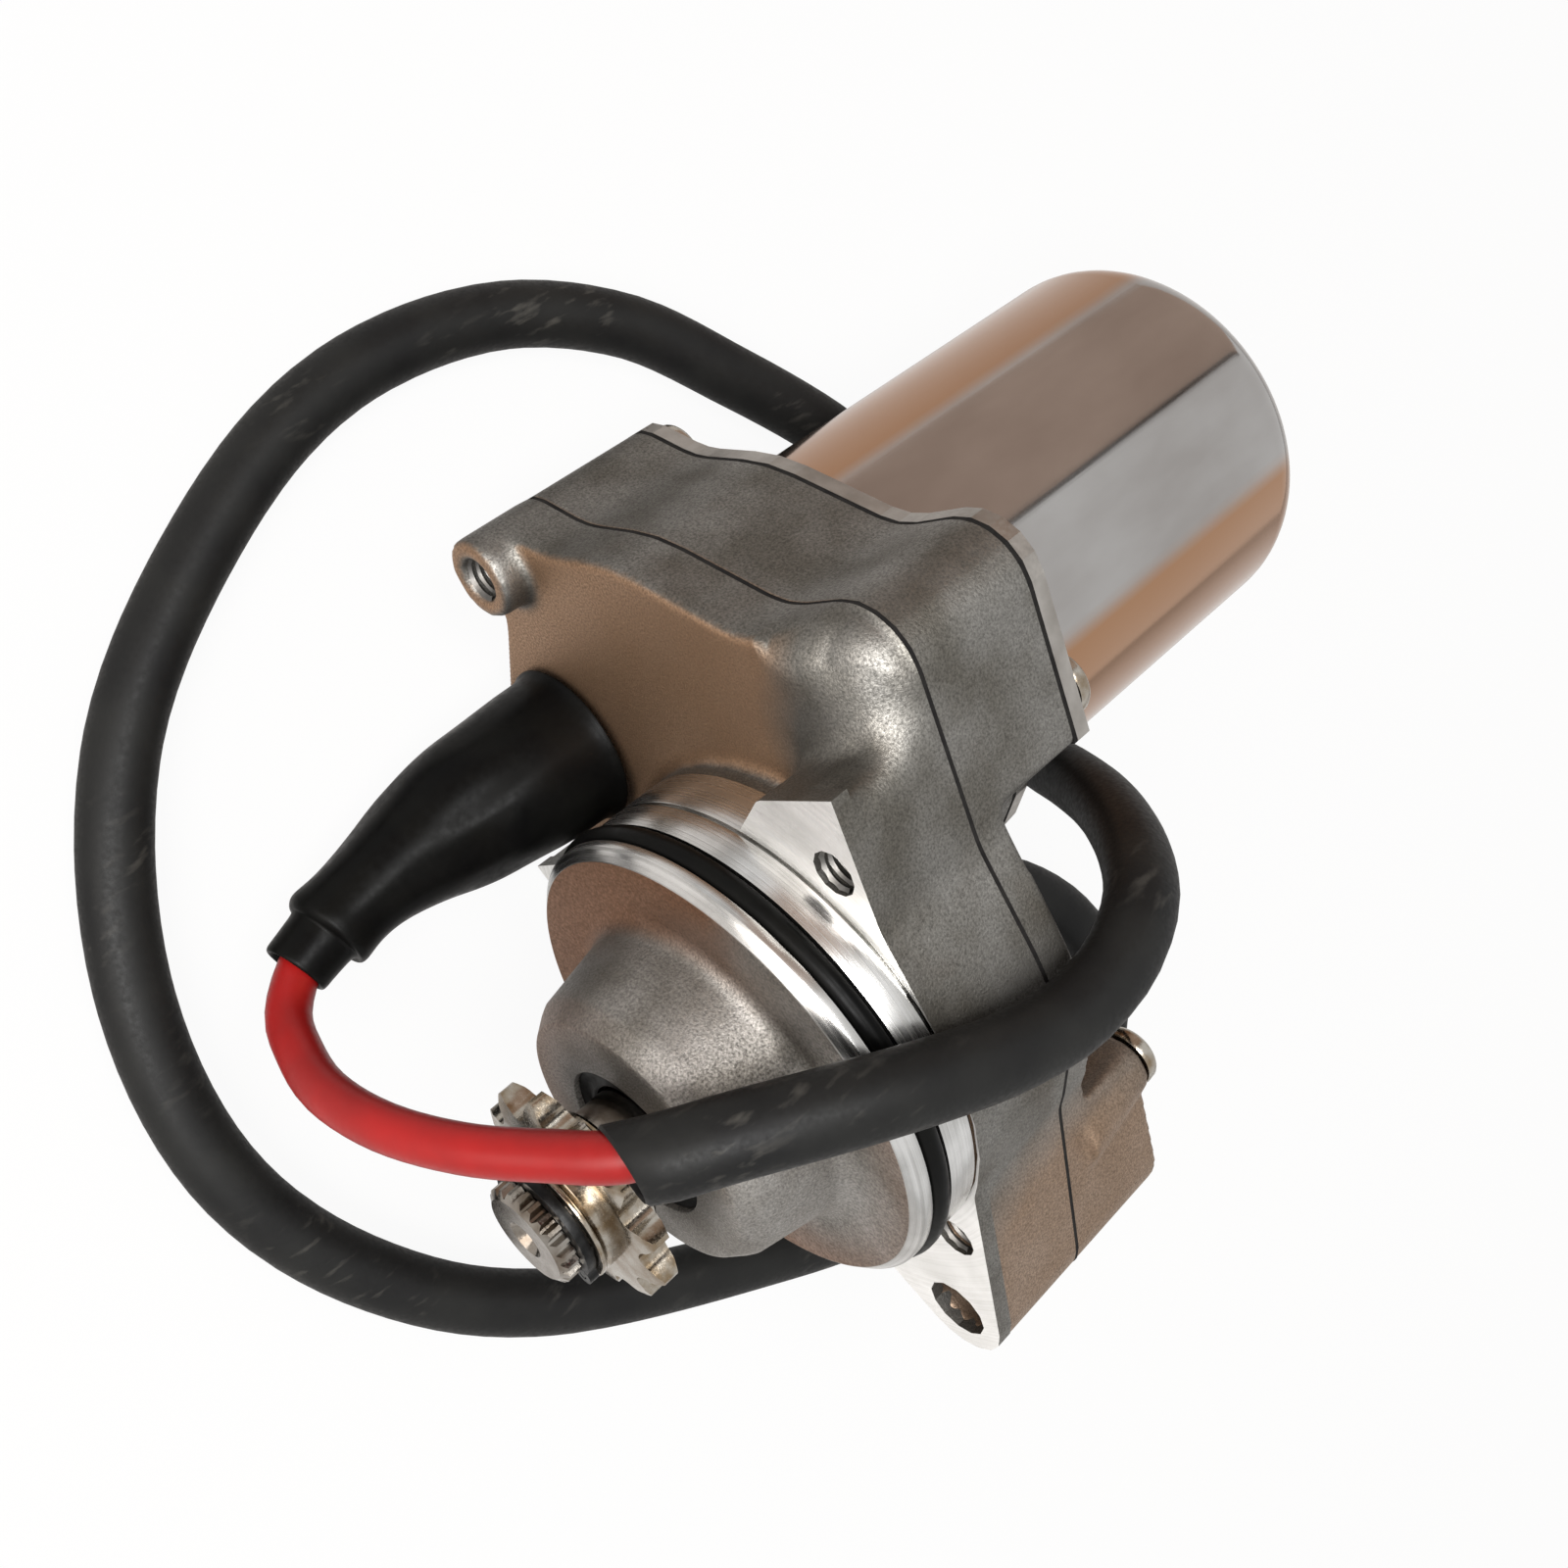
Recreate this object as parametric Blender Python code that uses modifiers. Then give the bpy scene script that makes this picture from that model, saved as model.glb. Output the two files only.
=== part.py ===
"""Geared starter motor: a DC motor whose spur reduction turns a chain sprocket.

The motor lies on its side, with its cable looped once round it. The output shaft runs along Y with the
sprocket in front, at -Y. The armature runs parallel to it, inside the can. Sizes are in millimetres from
the middle of the pilot's front rim, and the helpers turn them into Blender's metres. An empty then puts
the origin under the middle of the motor, on the surface that it lies on.
"""

import math

import bmesh
import bpy
from mathutils import Matrix, Vector

MM = 0.001
GAP = 0.3  # between pieces that touch
GASKET_GAP = 0.1  # between a clamped gasket and its two faces
CHORD_ERROR = 0.15  # how far an outline's facets cut inside its arcs

# Axes: the output shaft is the Y axis itself
CENTRE_DISTANCE = 27.5
ARMATURE_X = -27.0
ARMATURE_Z = -math.sqrt(CENTRE_DISTANCE**2 - ARMATURE_X**2)
ARMATURE = (ARMATURE_X, ARMATURE_Z)
OUTPUT = (0.0, 0.0)

# Stations along Y, front to rear
SHAFT_TIP = -27.3
NOSE_FRONT = -12.0
RIM_FRONT = 0.5
MOUNT_FACE = 10.0
COVER_FACE = 18.0
FRONT_JOINT = 25.0
GEAR_BACK = 29.5
REAR_JOINT = 42.0
CAN_END = 107.0
GASKET = 0.5
PLATE = 2.0

# Gearbox outline, seen from the front as (x, z, corner radius)
GEAR_WALL_R = 29.4
MOTOR_WALL_R = 27.5
FLOOR_Z = -38.4
EAR_TIP_X = 49.0
PAD_EDGE_X = -29.4  # left edge of the machined pad round the corner screw

# Screws and holes as (x, z)
EAR_SCREW = (29.2, 12.4)
CORNER_SCREW = (-21.0, 26.0)
BOSS_SCREW = (-56.0, -20.2)
LOWER_SCREW = (-16.8, -32.6)
EAR_HOLE = (42.6, 4.5)
STUD = (-32.5, -26.5)
THREAD_R = 2.7
EAR_HOLE_R = 4.0
EAR_COLUMN_R = 6.0  # the screw's round column, which stands out of the ear's flat side
EAR_POCKET_X = 24.2
BOSS_R = 5.0
BOSS_FACE = 14.0
STUD_HOLE_R = 4.9

# Pilot, nose and bearings
PILOT_R = 29.0
RING_GROOVE = (2.8, 5.7)
RING_GROOVE_R = 27.0
RING_R = 1.2
NOSE_FACE_R = 15.2
NOSE_R = 17.5
NOSE_ROOT_R = 19.0
NOSE_FILLET = 2.4
SEAL_POCKET_R = 9.4
BUSH_SEAT_R = 9.3
JOURNAL_R = 6.5
SMALL_BUSH_R = 6.0
SMALL_SEAT_R = SMALL_BUSH_R + GAP

# Gears and sprocket
MODULE = 1.0
PRESSURE = math.radians(20)
GEAR_TEETH = 45
PINION_TEETH = 10
SHIFT = 0.4  # profile shift, plus on the pinion and minus on the gear
FLANK_RELIEF = 0.06
GEAR_HUB_FRONT, GEAR_FRONT, GEAR_REAR = 14.4, 19.7, 23.9
GEAR_HUB_R = 11.0
GEAR_CAVITY_R = 24.2
PINION_CAVITY_R = 7.6
GEAR_SEAT_R = 7.0
CAVITY_FRONT = 13.5
PINION_CAVITY_FRONT = 19.4
PINION_FRONT, PINION_REAR = 19.8, 24.4
CHAIN_PITCH = 6.35
CHAIN_ROLLER_R = 1.7
SPROCKET_TEETH = 12
SPROCKET_TIP_R = 13.4
SPROCKET_FRONT, SPROCKET_REAR = -21.2, -17.8
HUB_FRONT, HUB_REAR = -23.0, -15.9
HUB_R = 7.8
SPLINE_TEETH = 24
SPLINE_R = 6.1
SPLINE_ROOT_R = 5.5
CIRCLIP = (-24.85, -23.95)
CIRCLIP_R = 7.0

# Motor
CAN_R = 24.7
CAN_WALL = 2.0
CAN_CORNER = 7.0
CHAMBER_R = 21.0
SHAFT_R = 4.0
MAGNET_R = CAN_R - CAN_WALL - GAP
MAGNET_BORE_R = 17.6
MAGNET_ARC = math.radians(130)
MAGNET_SPAN = (50.0, 94.0)
CORE_R = 16.8
CORE_SPAN = (52.0, 92.0)
SLOTS = 12
SLOT_WIDTH = 3.4
SLOT_FLOOR_R = 8.6
COMMUTATOR_R = 9.5
COMMUTATOR_SPAN = (31.9, 40.9)

# Cable
WIRE_R = 2.5
SLEEVE_R = 4.1
CABLE_Z = FLOOR_Z + SLEEVE_R + 0.05  # centre of the cable where it lies flat

ALONG_Y = (-math.pi / 2, 0.0, 0.0)  # turns a shape's own +Z to the model's +Y

HOUSING_CORNERS = [
    (-63.7, -23.0, 5.0),
    (-56.1, -11.2, 12.0),
    (-53.3, 1.0, 25.0),
    (-43.0, 17.5, 10.0),
    (-42.6, 34.2, 7.0),
    (-14.0, 28.6, 10.0),
    (10.7, GEAR_WALL_R, GEAR_WALL_R),
    (21.4, 20.4, 4.0),
    (EAR_TIP_X, 8.7, 6.4),
    (EAR_TIP_X, 0.5, 6.3),
    (30.1, -9.9, 6.0),
    (17.4, -24.9, GEAR_WALL_R),
    (-19.7, FLOOR_Z, 12.0),
    (-38.4, FLOOR_Z, 6.0),
    (-49.2, -27.6, 6.0),
]

RED_ROUTE = [
    (-33.1, -7.4, -26.5),
    (-32.8, -12.0, -26.5),
    (-31.4, -20.0, -26.5),
    (-29.95, -24.5, -26.35),
    (-27.4, -29.2, -23.1),
    (-25.0, -31.6, -18.0),
    (-22.1, -33.2, -10.8),
    (-18.8, -32.5, -1.7),
    (-15.6, -29.5, 7.8),
    (-12.9, -25.1, 16.0),
    (-11.1, -21.4, 22.0),
]

SLEEVE_ROUTE = [
    (-10.4, -21.8, 22.0),
    (-8.5, -13.3, 29.0),
    (-5.2, -3.8, 33.2),
    (-1.6, 4.5, 34.2),
    (2.0, 13.0, 34.2),
    (4.3, 21.5, 34.1),
    (4.4, 29.5, 33.7),
    (3.4, 36.0, 32.2),
    (2.6, 42.0, 28.8),
    (2.4, 49.4, 21.5),
    (3.2, 58.0, 10.5),
    (3.9, 65.0, -1.0),
    (4.0, 71.0, -13.0),
    (1.6, 77.0, -25.0),
    (-6.0, 82.0, -32.4),
    (-17.0, 84.6, CABLE_Z),
    (-28.0, 84.8, CABLE_Z),
    (-38.0, 82.6, CABLE_Z),
    (-46.0, 78.6, CABLE_Z),
    (-58.5, 68.7, CABLE_Z),
    (-72.0, 56.0, CABLE_Z),
    (-80.6, 38.5, CABLE_Z),
    (-82.0, 17.0, CABLE_Z),
    (-75.0, -3.5, CABLE_Z),
    (-60.0, -25.0, CABLE_Z),
    (-38.0, -38.5, CABLE_Z),
    (-14.0, -42.4, CABLE_Z),
    (8.0, -35.4, CABLE_Z),
    (27.0, -19.5, CABLE_Z),
    (45.6, 10.9, CABLE_Z),
    (54.5, 30.0, CABLE_Z),
    (60.3, 47.0, CABLE_Z),
    (62.5, 64.0, CABLE_Z),
    (60.2, 73.0, CABLE_Z),
    (54.0, 79.2, CABLE_Z),
    (45.5, 81.5, CABLE_Z),
    (37.0, 79.4, CABLE_Z),
    (29.2, 74.4, CABLE_Z),
    (22.5, 67.5, CABLE_Z),
]

BOOT_ROUTE = [(-32.5, 17.3), (-32.8, 9.0), (-33.3, 1.0), (-33.2, -6.0), (-32.8, -12.0), (-31.4, -20.0)]
BOOT_RADII = [9.7, 9.7, 9.0, 7.3, 5.8, 4.7]
COLLAR_ROUTE = [(-31.45, -19.7), (-29.9, -25.2)]
COLLAR_RADII = [4.0, 3.9]
BOOT_BORE_ROUTE = [(-32.5, 18.0), *BOOT_ROUTE[1:], (-29.6, -26.2)]
BOOT_BORE_RADII = [8.3, 8.3, 7.5, 5.0, 3.3, 3.3, 3.5]


def start_scene():
    """Clears the scene and makes the two collections."""
    for obj in list(bpy.data.objects):
        bpy.data.objects.remove(obj, do_unlink=True)
    parts = bpy.data.collections.new("geared_starter_motor")
    cutters = bpy.data.collections.new("cutters")
    for collection in (parts, cutters):
        bpy.context.scene.collection.children.link(collection)
    return parts, cutters


PARTS, CUTTERS = start_scene()


def add_object(name, data, parent):
    obj = bpy.data.objects.new(name, data)
    PARTS.objects.link(obj)
    obj.parent = parent
    return obj


def make_empty(name, parent, location):
    empty = add_object(name, None, parent)
    empty.location = Vector(location) * MM
    return empty


def make_helper(obj):
    """Turns an object into a cutter that the finished model leaves out."""
    PARTS.objects.unlink(obj)
    CUTTERS.objects.link(obj)
    obj.hide_render = True
    obj.display_type = "WIRE"


def combine(target, tool, operation):
    modifier = target.modifiers.new(tool.name, "BOOLEAN")
    modifier.operation = operation
    modifier.solver = "EXACT"
    modifier.object = tool
    make_helper(tool)


def as_mesh(obj):
    """The object's evaluated mesh, with coincident points merged and every face turned outwards."""
    bpy.context.view_layer.update()
    evaluated = obj.evaluated_get(bpy.context.evaluated_depsgraph_get())
    mesh = bpy.data.meshes.new_from_object(evaluated)
    shape = bmesh.new()
    shape.from_mesh(mesh)
    bmesh.ops.remove_doubles(shape, verts=shape.verts, dist=0.0005 * MM)
    bmesh.ops.recalc_face_normals(shape, faces=shape.faces)
    shape.to_mesh(mesh)
    shape.free()
    return mesh


def settle(obj, tool):
    """Makes the object's mesh what its cuts and joins give, and removes the tool that made them."""
    solid = as_mesh(obj)
    obj.modifiers.clear()
    obj.data = solid
    bpy.data.objects.remove(tool)


def mesh_from_curve(obj):
    """Replaces a curve object by a mesh object of the same name and place."""
    name, parent = obj.name, obj.parent
    mesh = as_mesh(obj)
    location, rotation = obj.location.copy(), obj.rotation_euler.copy()
    bpy.data.objects.remove(obj)
    solid = add_object(name, mesh, parent)
    solid.location, solid.rotation_euler = location, rotation
    return solid


def turned(name, profile, parent, axis=OUTPUT, steps=48):
    """A solid of revolution about a line along Y.

    The profile lists (radius, y) from the front along the outer side. A ring's profile returns along its
    bore, and a solid's starts and ends on the axis.
    """
    shape = bmesh.new()
    verts = [shape.verts.new((radius * MM, 0.0, y * MM)) for radius, y in reversed(profile)]
    for first, second in zip(verts, verts[1:]):
        shape.edges.new((first, second))
    if profile[0][0] > 0:
        shape.edges.new((verts[-1], verts[0]))
    mesh = bpy.data.meshes.new(name)
    shape.to_mesh(mesh)
    shape.free()
    obj = add_object(name, mesh, parent)
    obj.location = Vector((axis[0], 0.0, axis[1])) * MM
    obj.rotation_euler = ALONG_Y
    screw = obj.modifiers.new("Turn", "SCREW")
    screw.axis = "Z"
    screw.steps = screw.render_steps = steps
    screw.use_merge_vertices = True
    screw.merge_threshold = 0.005 * MM
    return obj


def tube_profile(outer, bore, front, back):
    return [(outer, front), (outer, back), (bore, back), (bore, front)]


def plate(name, outline, front, back, parent, holes=()):
    """A flat outline in X and Z, extruded along Y, with round holes given as (x, z, radius)."""
    curve = bpy.data.curves.new(name, "CURVE")
    curve.dimensions = "2D"
    curve.fill_mode = "BOTH"
    curve.extrude = (back - front) / 2 * MM
    for loop in (outline, *(circle((x, z), radius) for x, z, radius in holes)):
        spline = curve.splines.new("POLY")
        spline.points.add(len(loop) - 1)
        for point, (x, z) in zip(spline.points, loop):
            point.co = (x * MM, -z * MM, 0.0, 1.0)
        spline.use_cyclic_u = True
    obj = add_object(name, curve, parent)
    obj.location.y = (front + back) / 2 * MM
    obj.rotation_euler = ALONG_Y
    return mesh_from_curve(obj)


def rods(name, bars, parent, steps=24):
    """Round bars along Y in one mesh, each given as (x, z, radius, front, back)."""
    shape = bmesh.new()
    for x, z, radius, front, back in bars:
        place = Matrix.Translation(Vector((x, (front + back) / 2, z)) * MM)
        turn = Matrix.Rotation(-math.pi / 2, 4, "X")
        bmesh.ops.create_cone(
            shape,
            cap_ends=True,
            segments=steps,
            radius1=radius * MM,
            radius2=radius * MM,
            depth=(back - front) * MM,
            matrix=place @ turn,
        )
    mesh = bpy.data.meshes.new(name)
    shape.to_mesh(mesh)
    shape.free()
    return add_object(name, mesh, parent)


def upright_rod(name, centre, radius, height, parent):
    shape = bmesh.new()
    bmesh.ops.create_cone(
        shape,
        cap_ends=True,
        segments=24,
        radius1=radius * MM,
        radius2=radius * MM,
        depth=height * MM,
        matrix=Matrix.Translation(Vector(centre) * MM),
    )
    mesh = bpy.data.meshes.new(name)
    shape.to_mesh(mesh)
    shape.free()
    return add_object(name, mesh, parent)


def block(name, centre, size, parent):
    shape = bmesh.new()
    scale = Matrix.Diagonal((*(Vector(size) * MM), 1.0))
    bmesh.ops.create_cube(shape, size=1.0, matrix=Matrix.Translation(Vector(centre) * MM) @ scale)
    mesh = bpy.data.meshes.new(name)
    shape.to_mesh(mesh)
    shape.free()
    return add_object(name, mesh, parent)


def tube(name, points, radii, parent, resolution):
    """A round bar along a polyline, with its own radius at each point."""
    curve = bpy.data.curves.new(name, "CURVE")
    curve.dimensions = "3D"
    curve.bevel_depth = MM
    curve.bevel_resolution = resolution
    curve.use_fill_caps = True
    spline = curve.splines.new("POLY")
    spline.points.add(len(points) - 1)
    for point, place, radius in zip(spline.points, points, radii):
        point.co = (*(Vector(place) * MM), 1.0)
        point.radius = radius
    return add_object(name, curve, parent)


def smooth_route(stations, spacing, before=None, after=None):
    """Evenly spaced points on a smooth curve through hand-placed stations.

    Where another route carries on at an end, its nearest station is given as before or after.
    """
    stations = [Vector(station) for station in stations]
    last = len(stations) - 1
    guides = [Vector(before or stations[0]), *stations, Vector(after or stations[last])]
    fine = 24
    dense = []
    for i in range(last):
        start, end = stations[i], stations[i + 1]
        leave = (end - guides[i]) / 2
        arrive = (guides[i + 3] - start) / 2
        for k in range(fine):
            t = k / fine
            dense.append(
                start * (2 * t**3 - 3 * t**2 + 1)
                + leave * (t**3 - 2 * t**2 + t)
                + end * (3 * t**2 - 2 * t**3)
                + arrive * (t**3 - t**2)
            )
    dense.append(stations[last])
    steps = [(second - first).length for first, second in zip(dense, dense[1:])]
    count = round(sum(steps) / spacing)
    target = sum(steps) / count
    route, walked = [dense[0]], 0.0
    for point, step in zip(dense[1:], steps):
        walked += step
        if walked >= target * len(route) and len(route) < count:
            route.append(point)
    return [*route, dense[-1]]


def rounded(corners):
    """A closed outline whose corners (x, z, radius) become arcs."""
    outline = []
    for i, (x, z, radius) in enumerate(corners):
        corner = Vector((x, z))
        back = (Vector(corners[i - 1][:2]) - corner).normalized()
        ahead = (Vector(corners[(i + 1) % len(corners)][:2]) - corner).normalized()
        half = back.angle(ahead) / 2
        if radius == 0:
            outline.append(corner)
            continue
        centre = corner + (back + ahead).normalized() * (radius / math.sin(half))
        arm = corner + back * (radius / math.tan(half)) - centre
        sweep = math.pi - 2 * half
        side = math.copysign(1.0, ahead.x * back.y - ahead.y * back.x)
        steps = max(2, math.ceil(sweep / (2 * math.acos(1 - CHORD_ERROR / max(radius, 1.0)))))
        for k in range(steps + 1):
            turn = Matrix.Rotation(side * sweep * k / steps, 2)
            outline.append(centre + turn @ arm)
    return outline


def arc_corner(centre, radius, start, end):
    """The sharp corner whose rounding is the given arc, with its angles in degrees."""
    middle = math.radians((start + end) / 2)
    reach = radius / math.cos(math.radians(end - start) / 2)
    return (centre[0] + reach * math.cos(middle), centre[1] + reach * math.sin(middle), radius)


def on_circle(centre, radius, angle):
    return Vector((centre[0] + radius * math.cos(angle), centre[1] + radius * math.sin(angle)))


def circle(centre, radius):
    """Points round a circle, at steps that suit its size."""
    count = 10 if radius < 3.5 else 14 if radius < 12 else 28
    return [on_circle(centre, radius, math.tau * k / count) for k in range(count)]


def beyond_arc(centre, radius, angle, distance):
    """A point on the tangent at an angle in degrees, ahead of an arc that turns towards smaller angles."""
    angle = math.radians(angle)
    heading = Vector((math.sin(angle), -math.cos(angle)))
    return on_circle(centre, radius, angle) + heading * distance


def involute_gear(teeth, shift, phase, flank_points):
    """The outline of an involute spur gear with a tooth centred on the phase angle."""
    pitch_r = teeth * MODULE / 2
    base_r = pitch_r * math.cos(PRESSURE)
    root_r = pitch_r + (shift - 1.25) * MODULE
    tip_r = pitch_r + (shift + 1.0) * MODULE
    low_r = max(base_r, root_r)

    def involute(radius):
        angle = math.acos(min(1.0, base_r / radius))
        return math.tan(angle) - angle

    pitch_half = (math.pi / 2 + 2 * shift * math.tan(PRESSURE)) / teeth - FLANK_RELIEF / pitch_r

    def half_angle(radius):
        return pitch_half + involute(pitch_r) - involute(radius)

    radii = [low_r + (tip_r - low_r) * (k + 1) / flank_points for k in range(flank_points)]
    outline = []
    for k in range(teeth):
        middle = phase + math.tau * k / teeth
        rising = [(root_r, -half_angle(low_r))] + [(radius, -half_angle(radius)) for radius in radii]
        falling = [(radius, -angle) for radius, angle in reversed(rising)]
        outline += [on_circle((0, 0), radius, middle + angle) for radius, angle in rising + falling]
    return outline


def sprocket_outline():
    """Roller seats on the chain's pitch circle, joined over blunt tooth tips."""
    pitch_r = CHAIN_PITCH / 2 / math.sin(math.pi / SPROCKET_TEETH)
    tip_half = 0.55 / SPROCKET_TIP_R
    outline = []
    for k in range(SPROCKET_TEETH):
        seat = math.tau * k / SPROCKET_TEETH
        centre = on_circle((0, 0), pitch_r, seat)
        for degrees in (-66, -22, 22, 66):
            outline.append(on_circle(centre, CHAIN_ROLLER_R, seat + math.pi - math.radians(degrees)))
        tooth = seat + math.pi / SPROCKET_TEETH
        outline += [on_circle((0, 0), SPROCKET_TIP_R, tooth + side * tip_half) for side in (-1, 1)]
    return outline


def spline_outline(teeth, outer, root, land):
    """V-shaped spline teeth: land is the share of each pitch that a tooth's tip takes."""
    pitch = math.tau / teeth
    outline = []
    for k in range(teeth):
        for radius, share in ((root, -0.5), (outer, -land / 2), (outer, land / 2)):
            outline.append(on_circle((0, 0), radius, pitch * (k + share)))
    return outline


def slotted_disc(outer, floor, width, count):
    """A disc with straight-sided slots from its rim down to the floor radius."""
    outline = []
    for k in range(count):
        middle = math.tau * k / count
        mouth = math.asin(width / 2 / outer)
        foot = math.asin(width / 2 / floor)
        land = math.tau / count - 2 * mouth
        outline += [on_circle((0, 0), floor, middle - foot), on_circle((0, 0), floor, middle + foot)]
        outline += [on_circle((0, 0), outer, middle + mouth + land * share) for share in (0.0, 0.5, 1.0)]
    return outline[1:] + outline[:1]


def sector(outer, bore, start, end, steps):
    angles = [start + (end - start) * k / steps for k in range(steps + 1)]
    rim = [on_circle((0, 0), outer, angle) for angle in angles]
    return rim + [on_circle((0, 0), bore, angle) for angle in reversed(angles)]


HOUSING = rounded(HOUSING_CORNERS)
RELIEF_EDGE = 60.0  # how far the cutters reach past the outline
COVER_RELIEF = rounded(
    [
        (-80.0, RELIEF_EDGE, 0),
        (PAD_EDGE_X, RELIEF_EDGE, 0),
        (PAD_EDGE_X, 19.5, 2.0),
        (-25.0, 12.4, 0),
        (-25.0, -12.4, 0),
        (-20.5, -19.0, 0),
        (-17.0, -RELIEF_EDGE, 0),
        (-80.0, -RELIEF_EDGE, 0),
    ]
)
MOTOR_ARC = (60.0, -32.0)
MOTOR_TOP = beyond_arc(ARMATURE, MOTOR_WALL_R, MOTOR_ARC[0], -2.9)
MOTOR_FOOT = beyond_arc(ARMATURE, MOTOR_WALL_R, MOTOR_ARC[1], 45.0)
MOTOR_EDGE = [
    (MOTOR_TOP.x, RELIEF_EDGE, 0),
    (MOTOR_TOP.x, MOTOR_TOP.y, 1.5),
    arc_corner(ARMATURE, MOTOR_WALL_R, *MOTOR_ARC),
    (MOTOR_FOOT.x, MOTOR_FOOT.y, 0),
    (RELIEF_EDGE, MOTOR_FOOT.y, 0),
]
EAR_POCKET = [
    (RELIEF_EDGE, -3.5, 0),
    (37.0, -3.5, 5.0),
    (EAR_POCKET_X, 9.0, 4.0),
    (EAR_POCKET_X, RELIEF_EDGE, 0),
]
GEAR_RELIEF = rounded([*MOTOR_EDGE, *EAR_POCKET])
MOTOR_RELIEF = rounded([*MOTOR_EDGE, (RELIEF_EDGE, RELIEF_EDGE, 0)])


def make_finish(name, colour, roughness, metallic):
    material = bpy.data.materials.new(name)
    material.use_nodes = True
    shader = material.node_tree.nodes["Principled BSDF"]
    shader.inputs["Base Color"].default_value = (*colour, 1.0)
    shader.inputs["Roughness"].default_value = roughness
    shader.inputs["Metallic"].default_value = metallic
    return material


FINISHES = {
    "cast_aluminium": ((0.36, 0.35, 0.33), 0.55, 1.0),
    "gasket_paper": ((0.02, 0.02, 0.02), 0.9, 0.0),
    "plate_steel": ((0.52, 0.52, 0.50), 0.4, 1.0),
    "can_steel": ((0.55, 0.54, 0.52), 0.3, 1.0),
    "zinc_steel": ((0.66, 0.66, 0.62), 0.25, 1.0),
    "shaft_steel": ((0.60, 0.60, 0.58), 0.25, 1.0),
    "black_steel": ((0.03, 0.03, 0.03), 0.45, 1.0),
    "black_rubber": ((0.012, 0.012, 0.012), 0.5, 0.0),
    "red_insulation": ((0.38, 0.02, 0.02), 0.35, 0.0),
    "black_sleeve": ((0.025, 0.025, 0.027), 0.55, 0.0),
    "bronze": ((0.45, 0.28, 0.12), 0.4, 1.0),
    "copper": ((0.72, 0.32, 0.18), 0.35, 1.0),
    "brass": ((0.62, 0.47, 0.20), 0.35, 1.0),
    "ferrite": ((0.05, 0.05, 0.055), 0.7, 0.0),
    "phenolic": ((0.16, 0.08, 0.04), 0.6, 0.0),
    "carbon": ((0.03, 0.03, 0.03), 0.6, 0.0),
    "core_steel": ((0.30, 0.30, 0.31), 0.5, 1.0),
}


def dress(obj, finish):
    """Gives a part its finish and shades its round surfaces smooth."""
    obj.data.materials.clear()
    obj.data.materials.append(bpy.data.materials[finish])
    if obj.type == "MESH":
        obj.data.shade_smooth()
        obj.data.set_sharp_from_angle(angle=math.radians(35))


def bevel_outer_edge(obj, station, width):
    """Rounds the outer edge where the walls meet the face at this station."""
    shape = bmesh.new()
    shape.from_mesh(obj.data)
    level = station * MM - obj.location.y
    edges = [
        edge
        for edge in shape.edges
        if all(abs(vert.co.z - level) < 0.001 * MM for vert in edge.verts)
        and len(edge.link_faces) == 2
        and edge.is_convex
        and max(abs(face.normal.z) for face in edge.link_faces) > 0.9
        and min(abs(face.normal.z) for face in edge.link_faces) < 0.1
    ]
    bmesh.ops.bevel(
        shape,
        geom=edges,
        offset=width * MM,
        offset_type="OFFSET",
        segments=2,
        profile=0.5,
        affect="EDGES",
        clamp_overlap=True,
    )
    shape.to_mesh(obj.data)
    shape.free()


def nose_profile():
    """The pilot with its ring groove, and the nose that carries the shaft seal."""
    centre = (NOSE_ROOT_R + NOSE_FILLET, RIM_FRONT - NOSE_FILLET)
    fillet = []
    for degrees in (180, 135, 90):
        angle = math.radians(degrees)
        fillet.append((centre[0] + NOSE_FILLET * math.cos(angle), centre[1] + NOSE_FILLET * math.sin(angle)))
    groove_front, groove_rear = RING_GROOVE
    return [
        (0.0, NOSE_FRONT),
        (NOSE_FACE_R, NOSE_FRONT),
        (NOSE_R, -9.3),
        *fillet,
        (PILOT_R - 1.3, RIM_FRONT),
        (PILOT_R, RIM_FRONT + 1.2),
        (PILOT_R, groove_front),
        (RING_GROOVE_R, groove_front),
        (RING_GROOVE_R, groove_rear),
        (PILOT_R, groove_rear),
        (PILOT_R, COVER_FACE + 0.4),
        (0.0, COVER_FACE + 0.4),
    ]


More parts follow.
